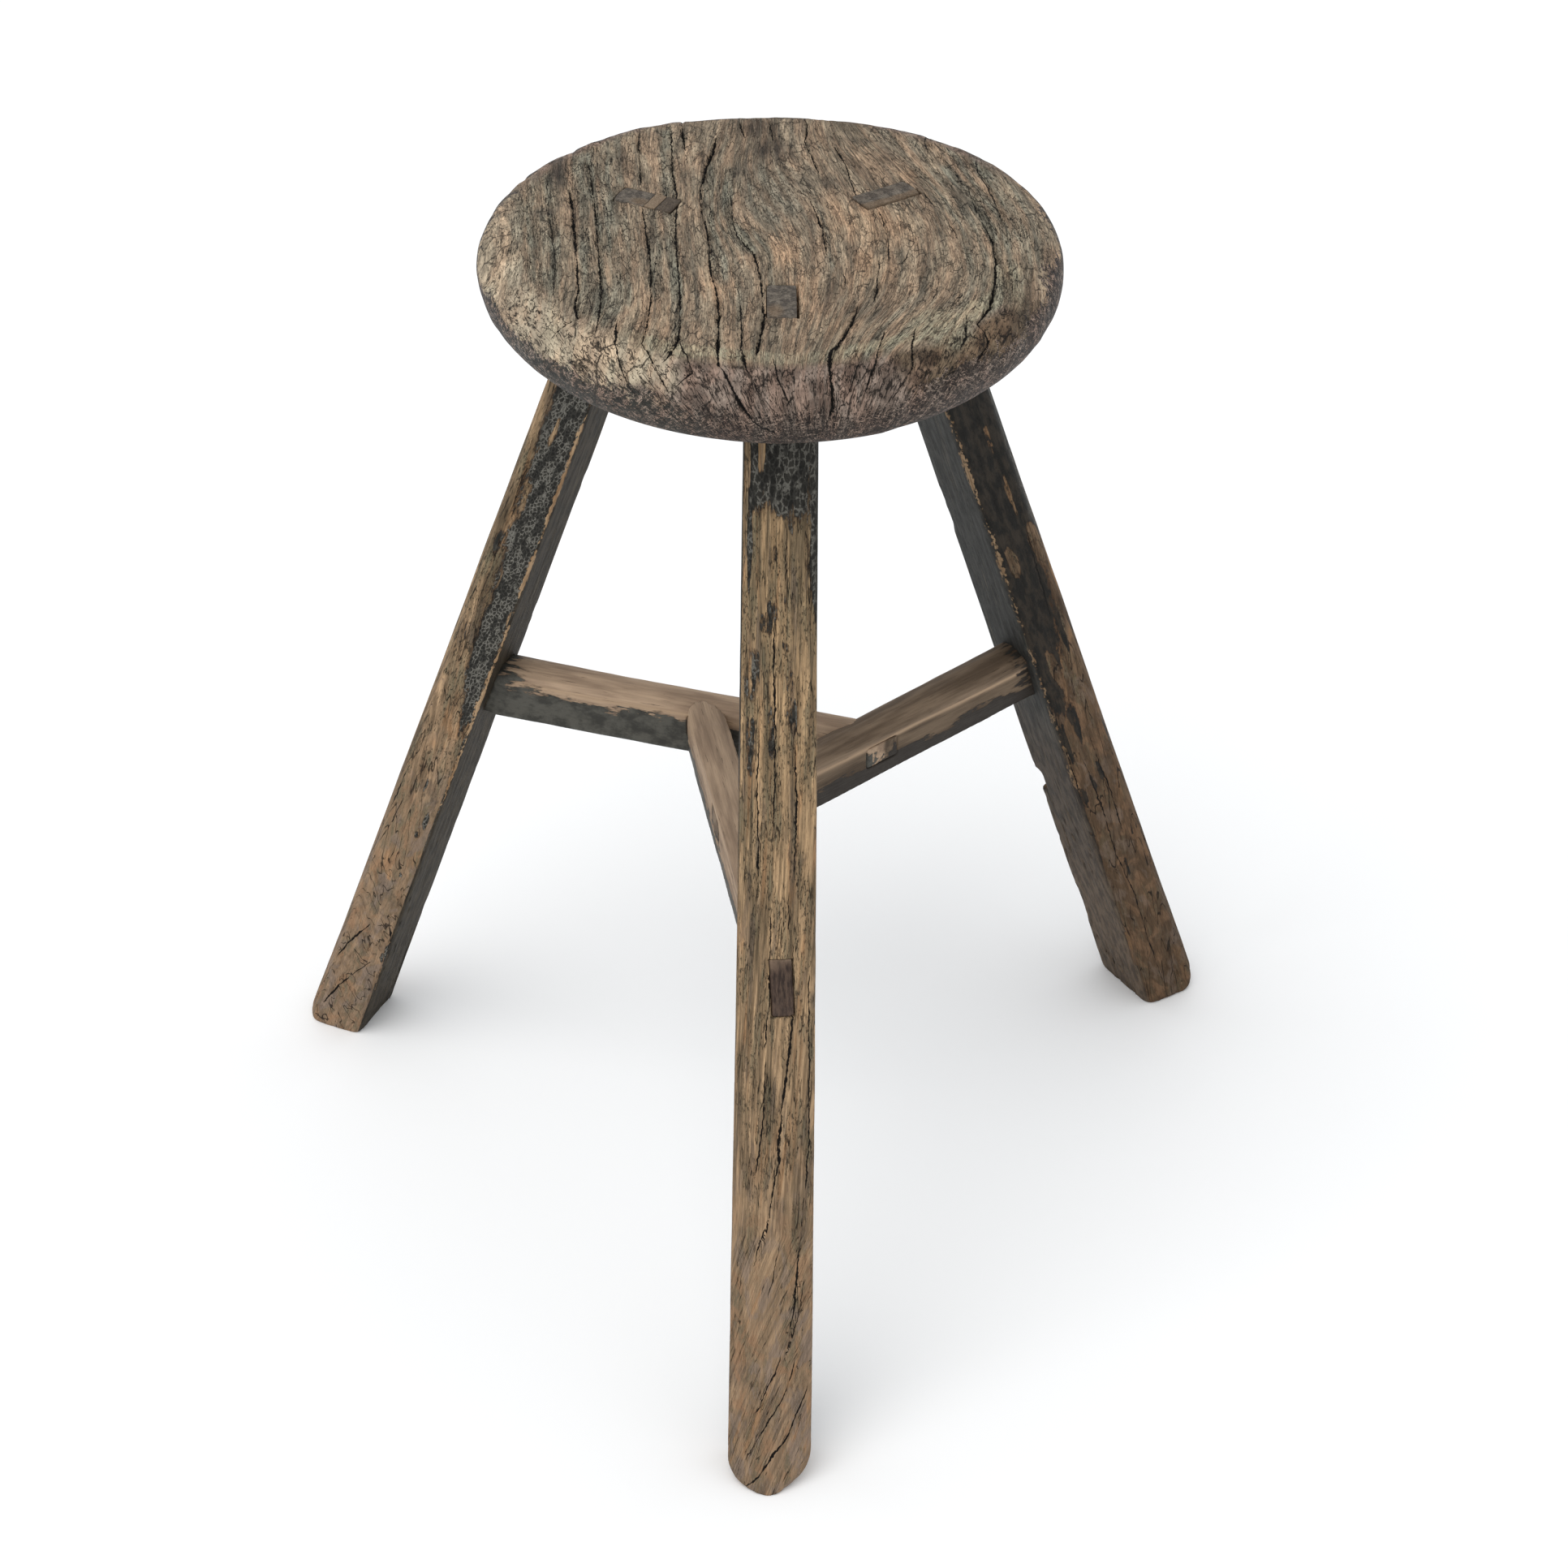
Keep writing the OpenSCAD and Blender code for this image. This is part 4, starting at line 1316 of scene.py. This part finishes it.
# Checks in the legs: greatest half width, depth, and places round and up
LEG_CRACKS = (
    (
        (0.75, 1.6, (7.2, 222), (5.4, 203), (3.6, 188), (1.8, 166), (1.2, 152), (-0.6, 142),
         (-3.2, 122), (-4.2, 114)),
        (0.45, 1.0, (-3.6, 225), (-4.4, 199), (-5, 173), (-7, 155), (-8.4, 147)),
        (0.5, 1.2, (13.6, 237), (14, 200), (14, 156), (11.4, 128), (9.8, 106), (7.8, 84), (4.8, 62)),
        (0.55, 1.2, (-2.6, 270), (-2.8, 249), (-3, 221)),
        (0.5, 1.2, (4.9, 275), (5.2, 259), (7, 248), (7.6, 224)),
        (0.5, 1.0, (-2.3, 391), (-2, 366), (-1.4, 346), (-1.8, 300)),
        (0.4, 1.0, (2.6, 437), (2.8, 424), (2.5, 405)),
        (0.9, 2.2, (15.2, 52), (12.8, 45), (9.6, 37), (5.8, 28), (0.1, 19), (-4.8, 11), (-10.6, 2)),
        (0.4, 1.0, (12, 96), (10, 83), (7, 70), (5.5, 64)),
        (0.45, 1.2, (9.4, 65), (6.7, 54), (4, 46), (0, 38), (-5, 28), (-11, 15)),
        (0.4, 1.0, (3.3, 66), (1, 57), (-2, 52), (-5, 42), (-7.6, 37)),
        (0.4, 1.0, (2.5, 118), (-0.6, 100), (-2.6, 91)),
        (0.4, 1.0, (-2.6, 129), (-5.6, 118), (-8.8, 104)),
        (0.5, 1.0, (-8, 344), (-9, 320), (-8, 290), (-9, 262)),
        (0.5, 1.0, (7, 340), (8.2, 312), (7, 280)),
    ),
    (
        (0.7, 1.4, (26, 76), (19.5, 59), (16, 46)),
        (0.8, 1.6, (37, 58), (27.5, 42), (22.5, 30), (18, 14)),
        (0.45, 1.0, (20, 163), (18.5, 145), (15.5, 127)),
        (0.5, 1.0, (18, 208), (19, 196), (16, 176), (15, 150)),
        (0.6, 1.4, (34, 79), (37.5, 70), (37.8, 60)),
    ),
    (
        (0.45, 1.2, (-31, 178), (-30, 169), (-29.5, 139), (-30.5, 110), (-28, 78), (-29, 48),
         (-29, 10)),
        (0.4, 1.0, (-24, 190), (-23, 150), (-24, 118)),
        (0.4, 1.0, (-20, 330), (-22, 300), (-23, 270)),
        (0.45, 1.0, (-36.5, 190), (-37, 165), (-38, 150)),
        (0.4, 1.0, (-12, 150), (-13, 110), (-12, 70)),
    ),
)
# How brown the bare wood of each leg is, from yellowish tan at 0: at the seat, at the floor
BROWNING = ((0.0, 0.42), (0.12, 0.5), (0.75, 1.0))
# Strength of the pale veins in each leg's lacquer
VEINS = (0.75, 1.0, 0.3)
# Heights between which each leg's surface turns from weathered to smoothed by handling
HANDLED = ((190, 70), (230, 120), (300, 160))
# Slope of each leg's growth rings across its foot, in mm for each mm of height
RING_SLOPE = (0.36, 0.16, 0.0)
# Share by which distances from an arris count: under 1 its rubbed edge is broader
ARRIS_WORN = (1, 1, 0.75)


def leg_attributes(i, piece):
    """Stores what the leg material reads, at each vertex."""
    a, b, z = leg_coordinates(i, points_of(piece))
    turn = leg_turn(i, a, b, z)
    local = np.stack([a, b, z], 1)
    skin = np.stack([turn, z], 1)
    wobble = 1.3 * layered(local, (7, 7, 26), 501 + i, 3)
    knots = np.array(LACQUER_EDGE[i], float)
    edge = np.interp(turn + wobble, knots[:, 0], knots[:, 1])
    steep = (np.interp(turn + wobble + 1, knots[:, 0], knots[:, 1]) - edge) / 2.2
    left = (z + 5 * wobble - edge) / np.sqrt(1 + steep**2)
    for at, up, reach, along, strength in LACQUER_SPOTS[i]:
        away = np.hypot((turn + 1.3 * wobble - at) / reach, (z + 8 * wobble - up) / along)
        spot = smooth(away, 1.25, 0.6)
        left = left * (1 - spot) + strength * spot
    distance, width, _ = crack_channels(skin, LEG_CRACKS[i])
    drift = RING_SLOPE[i] * np.minimum(z - 120, 0) + 0.05 * np.minimum(z - 300, 0)
    ring = np.hypot(a + 26, b * (1 if i != RIGHT else -1) + 46 - drift)
    down = (SEAT_H - z) / SEAT_H
    low, high = BROWNING[i]
    round_face = (23, 37, 5) if i == LEFT else (-1, 14, 4)
    if i == FRONT:
        tan, dark = smooth(np.hypot((a - 8) / 6, (b + 3) / 4), 1.3, 0.4), 0 * a
    elif i == LEFT:
        tan, dark = smooth(np.hypot((a - 2) / 5, (b - 3) / 3.5), 1.3, 0.4), smooth(a, -6, -8)
    else:
        tan, dark = smooth(b + 1.5 * wobble, -1.0, -3.5), 0.3 * smooth(b, -1, 3)
    store(
        piece,
        grain_at=np.stack([ring, 0.6 * a - 0.3 * b, z + 60 * i], 1),
        skin_at=np.stack([b + 80 * i, a, z], 1),
        lacquer=np.clip(left, -9, 9),
        # Which face is the inner one, looking in under the seat: the material darkens it partly as
        # painted shade
        inner=smooth(np.abs(turn), INNER_TURN - 0.3, INNER_TURN + 0.7),
        handled=smooth(z + 6 * wobble, *HANDLED[i]),
        arris=ARRIS_WORN[i] * np.abs(INNER_TURN - np.abs(turn)) + 3 * smooth(z, 165, 140),
        brown=np.clip(low + (high - low) * down**1.4, 0, 1),
        veins=VEINS[i] * window(np.abs(turn), *round_face),
        end=smooth(z, SEAT_H - 3.5, SEAT_H - 1.5),
        end_tan=tan,
        end_dark=dark,
        crack_apart=distance,
        crack_half=width,
    )


def bare_leg_colour(s, grain, skin, brown, handled, streak, clusters):
    """Bare wood: yellowish tan on the upper front leg, browner towards the feet, with softer stains."""
    broad = s.noise(grain, (3.6, 12, 70), 4, 0.6)
    broad = s.blend(handled * 0.7, broad, 0.5)
    fair = s.tones(broad, 0.36, 0.62, (115, 99, 77), (178, 148, 112))
    dull = s.tones(broad, 0.36, 0.62, (108, 89, 71), (166, 139, 113))
    deep = s.tones(broad, 0.36, 0.62, (66, 51, 38), (98, 78, 58))
    bare = s.mix(s.smooth(brown, 0.0, 0.55), fair, dull)
    bare = s.mix(s.smooth(brown, 0.55, 1.0), bare, deep)
    warm = s.noise(grain, (3, 9, 60), 3, 0.5, 0.4)
    bare = s.mix(s.smooth(warm, 0.56, 0.68, 0, 0.6), bare, tone(163, 124, 88))
    olive = s.smooth(clusters, 0.46, 0.62) * s.smooth(streak, 0.40, 0.58)
    bare = s.mix(olive * 0.7, bare, tone(92, 88, 71))
    bruise = s.smooth(s.noise(grain, (4, 14, 34), 4, 0.6, 0.5), 0.54, 0.66, 0, 0.6)
    bare = s.mix(bruise, bare, tone(101, 88, 76))
    soft = s.noise(skin, (8, 8, 15), 4, 0.55, 0.5)
    bare = s.mix(handled * s.smooth(soft, 0.52, 0.64, 0.0, 0.6), bare, tone(154, 119, 90))
    bare = s.mix(handled * s.smooth(soft, 0.48, 0.38, 0.0, 0.6), bare, tone(134, 118, 106))
    return s.mix(handled * s.smooth(brown, 0.7, 0.9, 0.0, 0.55), bare, tone(86, 68, 52))


def leg_lacquer_colour(s, skin, brown, cloud, fibre):
    """Near-black lacquer crazed with pale veins, and the share of vein."""
    black = s.tones(cloud, 0.35, 0.65, (32, 31, 28), (56, 54, 49))
    brown_black = s.tones(cloud, 0.4, 0.62, (28, 26, 23), (52, 43, 34))
    black = s.mix(s.smooth(brown, 0.6, 0.9, 0.0, 0.85), black, brown_black)
    veins = s.number("veins")
    fine_cells = s.cells(skin, (1.7, 1.7, 2.4))
    crazed = s.blend(s.smooth(veins, 0.8, 0.9), s.cells(skin, (2.6, 2.6, 3.6)), fine_cells)
    dots = s.noise(skin, (0.5, 0.5, 0.8), 2)
    vein = s.smooth(crazed + s.sway(dots, 0.08), 0.16, 0.05)
    vein = vein * veins * s.smooth(cloud, 0.42, 0.54, 0.15, 1.0)
    black = s.mix(vein * 0.85, black, tone(124, 121, 113))
    return s.tinted(black, s.smooth(fibre, 0.3, 0.7, 0.86, 1.12)), vein


def inner_film_and_shade_colour(s, skin, brown, cloud):
    """Smooth film of the inner face, darkened partly as painted shade under the seat, browner on browner
    wood, with long pale scratches.
    """
    film = s.tones(cloud, 0.35, 0.65, (42, 37, 29), (66, 58, 46))
    for low, high, dark, light in (
        (0.5, 0.8, (48, 48, 46), (66, 66, 63)),
        (0.86, 0.90, (54, 47, 41), (82, 72, 62)),
        (0.90, 0.97, (72, 61, 51), (106, 90, 74)),
    ):
        film = s.mix(s.smooth(brown, low, high), film, s.tones(cloud, 0.35, 0.65, dark, light))
    scratch = s.smooth(s.noise(skin, (0.7, 2.0, 34), 3, 0.62), 0.60, 0.70)
    return s.mix(scratch * 0.55, film, tone(128, 117, 98))


def rubbed_share(s, grain, nibbled, brown):
    """Share of wood rubbed bare along the arrises, broken into lengths."""
    break_up = s.noise(grain, (9, 9, 22), 3)
    away = s.number("arris") + s.sway(nibbled, 0.7) + s.sway(break_up, -0.7)
    rubbed = s.smooth(away, 1.15, 0.7) * s.smooth(break_up, 0.33, 0.42)
    return rubbed * s.smooth(brown, 0.95, 0.6, 0.45, 1.0)


def tenon_end_colour(s, skin):
    """End grain of the tenon that shows in the seat top."""
    mottle = s.noise(skin, (4, 4, 4), 3, 0.6)
    body = s.tones(mottle, 0.42, 0.6, (84, 77, 70), (117, 108, 97))
    body = s.mix(s.number("end_tan") * 0.65, body, tone(124, 103, 81))
    body = s.mix(s.number("end_dark") * 0.8, body, tone(84, 72, 60))
    return s.tinted(body, s.smooth(s.noise(skin, (1.1, 0.6, 1), 4, 0.66), 0.3, 0.7, 0.6, 1.3))


def leg_material():
    s = Shade("leg_worn_lacquer")
    grain = s.place("grain_at")
    skin = s.place("skin_at")
    brown = s.number("brown")
    handled = s.number("handled")
    inner = s.number("inner")
    end = s.number("end")
    streak = s.noise(grain, (0.75, 4, 26), 4, 0.62)
    fibre = s.noise(skin, (0.34, 0.6, 7), 3, 0.6)
    clusters = s.noise(skin, (6, 6, 26), 3, 0.6)
    pores = s.noise(skin, (0.75, 0.9, 2.6), 3, 0.65, 0.5)
    nibbled = s.noise(skin, (1.3, 1.3, 2.6), 3, 0.6)
    cloud = s.noise(skin, (3, 3, 9), 3, 0.6)
    # Bare wood with raised ribs and dark pores, both softened where hands and feet smoothed it
    bare = bare_leg_colour(s, grain, skin, brown, handled, streak, clusters)
    soft_ribs = s.smooth(streak, 0.32, 0.68, 0.82, 1.14)
    bare = s.tinted(bare, s.blend(handled, s.smooth(streak, 0.32, 0.68, 0.56, 1.36), soft_ribs))
    bare = s.tinted(bare, s.smooth(fibre, 0.3, 0.7, 0.84, 1.14))
    pitted = s.smooth(pores, 0.46, 0.38) * s.smooth(clusters, 0.40, 0.54, 0.15, 1.0)
    pitted = pitted * s.smooth(handled, 0.0, 1.0, 1.0, 0.3)
    bare = s.mix(pitted * 0.8, bare, tone(50, 46, 38))
    # Lacquer with a ragged edge, where it thins out to a brown stain
    ragged = s.noise(grain, (1.5, 3, 15), 4, 0.68)
    edge = s.number("lacquer") + s.sway(ragged, 3.6, 0.22) + s.sway(nibbled, 1.2)
    film = s.smooth(edge, -0.5, 0.5) * s.smooth(edge, 0.2, 1.8, 0.72, 1.0)
    stain = s.smooth(edge, -3.2, 0.2) * 0.75
    black, vein = leg_lacquer_colour(s, skin, brown, cloud, fibre)
    body = s.mix(stain, bare, tone(72, 54, 40))
    body = s.mix(film, body, black)
    # The inner face's dark film is partly its own film and partly painted shade under the seat
    body = s.mix(inner, body, inner_film_and_shade_colour(s, skin, brown, cloud))
    rubbed_wood = s.tones(streak, 0.4, 0.6, (150, 118, 86), (186, 156, 122))
    body = s.mix(rubbed_share(s, grain, nibbled, brown), body, rubbed_wood)
    body = s.mix(end, body, tenon_end_colour(s, skin))
    # Open checks, and hair lines where the wood is bare
    hair = s.line(s.noise(grain, (2.2, 9, 60), 2, 0.5), 0.011, 0.004)
    hair = hair * s.smooth(clusters, 0.42, 0.5) * (1 - film) * (1 - end)
    crack = s.most(crack_mask(s, nibbled), hair * 0.8)
    body = s.mix(crack, body, tone(20, 17, 14))
    height = streak * 0.8 - pitted * 0.35 + film * 0.25 + vein * 0.12
    normal = s.bump(height, 0.9, 0.8)
    normal = s.bump(fibre * 0.4 - crack * 2.0, 0.4, 0.8, normal)
    rough = s.blend(s.most(film, inner), 0.84, 0.6)
    return s.finish(body, rough, normal, 0.12)


# ---- surface of the stretchers and the wedge -----------------------------------------------------

# Height on each stretcher's sides above which its lacquer is rubbed off, how brown its wood is, and how
# far from the leg the lacquer still covers it all round
BAR_RUBBED = (5.5, 2.6, -4.5)
BAR_BROWN = (0.2, 0.05, 0.8)
BAR_BLACK_END = 26


def bar_attributes(i, piece):
    """Stores what the stretcher material reads, at each vertex."""
    along, across, up = bar_coordinates(i, points_of(piece))
    local = np.stack([along, across, up], 1)
    wobble = layered(local, (22, 8, 8), 601 + i, 3)
    start = -bar_start(i)
    near_leg = BAR_BLACK_END - (along - start) + 10 * wobble
    side = (BAR_RUBBED[i] - up) * 0.9 + 4.5 * wobble + 3.5 * smooth(along, start + 30, start + 14)
    side = np.where(np.abs(across) > 6, side, -4 + (6 - up) * 0.4)
    left = np.maximum(near_leg * 0.3, side)
    if i == FRONT:
        left = np.minimum(left, 3.0 - 5.6 * smooth(up, -12, -2))
    tip = smooth(along, start - 7, start - 11)
    brown = BAR_BROWN[i]
    if i == RIGHT:
        brown = brown + 0.75 * smooth(np.abs(across), 5, 8) * smooth(up, 8, 5)
    if i == LEFT:
        brown = brown + 1.2 * smooth(along, along.max() - 5, along.max() - 3)
    # A pale band along the top of each side: a painted highlight where the rounded upper edge meets the
    # light
    pale = np.exp(-(((up - 6.5 - 1.0 * wobble) / 1.3) ** 2)) * smooth(np.abs(across), 6, 8)
    store(
        piece,
        bar_at=np.stack([along + 300 * i, across, up], 1),
        lacquer=np.clip(left, -9, 9),
        tip=tip,
        brown=np.clip(brown + 0 * along, 0, 1.2),
        pale=pale * (1 - tip),
    )


def stretcher_material():
    s = Shade("stretcher_rubbed_wood")
    at = s.place("bar_at")
    brown = s.number("brown")
    broad = s.noise(at, (50, 7, 7), 3)
    streak = s.noise(at, (28, 0.9, 0.9), 4, 0.6)
    dash = s.noise(at, (13, 0.5, 0.5), 2)
    fair = s.tones(broad, 0.36, 0.64, (149, 126, 105), (186, 160, 134))
    dull = s.tones(broad, 0.36, 0.64, (82, 68, 54), (114, 97, 79))
    bare = s.mix(brown, fair, dull)
    # Painted highlight: the pale band along the upper edge of the sides
    bare = s.mix(s.number("pale"), bare, tone(176, 150, 123))
    bare = s.tinted(bare, s.smooth(streak, 0.32, 0.68, 0.9, 1.09))
    bare = s.mix(s.smooth(dash, 0.33, 0.28, 0, 0.75), bare, tone(66, 54, 43))
    ragged = s.noise(at, (13, 3, 3), 4, 0.62)
    nibbled = s.noise(at, (2.2, 1.2, 1.2), 3, 0.6)
    edge = s.number("lacquer") + s.sway(ragged, 2.3) + s.sway(nibbled, 0.3)
    film = s.smooth(edge, -0.35, 0.35)
    cloud = s.noise(at, (9, 6, 6), 4, 0.65)
    black = s.tones(cloud, 0.36, 0.64, (56, 55, 50), (86, 84, 77))
    black = s.mix(brown * 0.7, black, tone(44, 36, 30))
    body = s.mix(s.smooth(edge, -1.6, 0.0) * 0.5, bare, tone(62, 48, 37))
    body = s.mix(film, body, black)
    tip = s.number("tip")
    mottle = s.noise(at, (3, 1.2, 7), 4, 0.55)
    end = s.tones(mottle, 0.36, 0.64, (50, 39, 34), (88, 71, 60))
    body = s.mix(tip, body, end)
    height = streak * 0.6 + film * 0.35
    normal = s.bump(height, 0.7, 0.7)
    normal = s.bump(dash * 0.3 - tip * mottle, 0.5, 0.6, normal)
    rough = s.blend(film, 0.72, 0.55)
    return s.finish(body, rough, normal)


def wedge_material():
    s = Shade("wedge_tan_wood")
    at = s.place("grain_at")
    streak = s.noise(at, (0.6, 0.6, 6), 4, 0.6)
    pore = s.noise(at, (0.8, 0.5, 3), 2)
    body = s.tones(streak, 0.35, 0.65, (112, 95, 78), (146, 127, 106))
    body = s.mix(s.smooth(pore, 0.36, 0.28, 0, 0.8), body, tone(60, 50, 40))
    return s.finish(body, 0.8, s.bump(streak, 0.6, 0.8))


# ---- the whole stool -----------------------------------------------------------------------------

make_camera()
make_studio()
seat = make_seat()
leg_wood = leg_material()
bar_wood = stretcher_material()
seat_attributes(seat)
finish_piece(seat, seat_material(), "seat_wood", "seat")
for i, side in enumerate(SIDE_NAMES):
    leg = make_leg(i)
    leg_attributes(i, leg)
    finish_piece(leg, leg_wood, "leg_wood", "leg_" + side)
    bar = make_stretcher(i)
    bar_attributes(i, bar)
    finish_piece(bar, bar_wood, "stretcher_wood", "stretcher_" + side)
wedge = make_wedge()
store(wedge, grain_at=points_of(wedge))
finish_piece(wedge, wedge_material(), "wedge_wood", "seat_wedge")
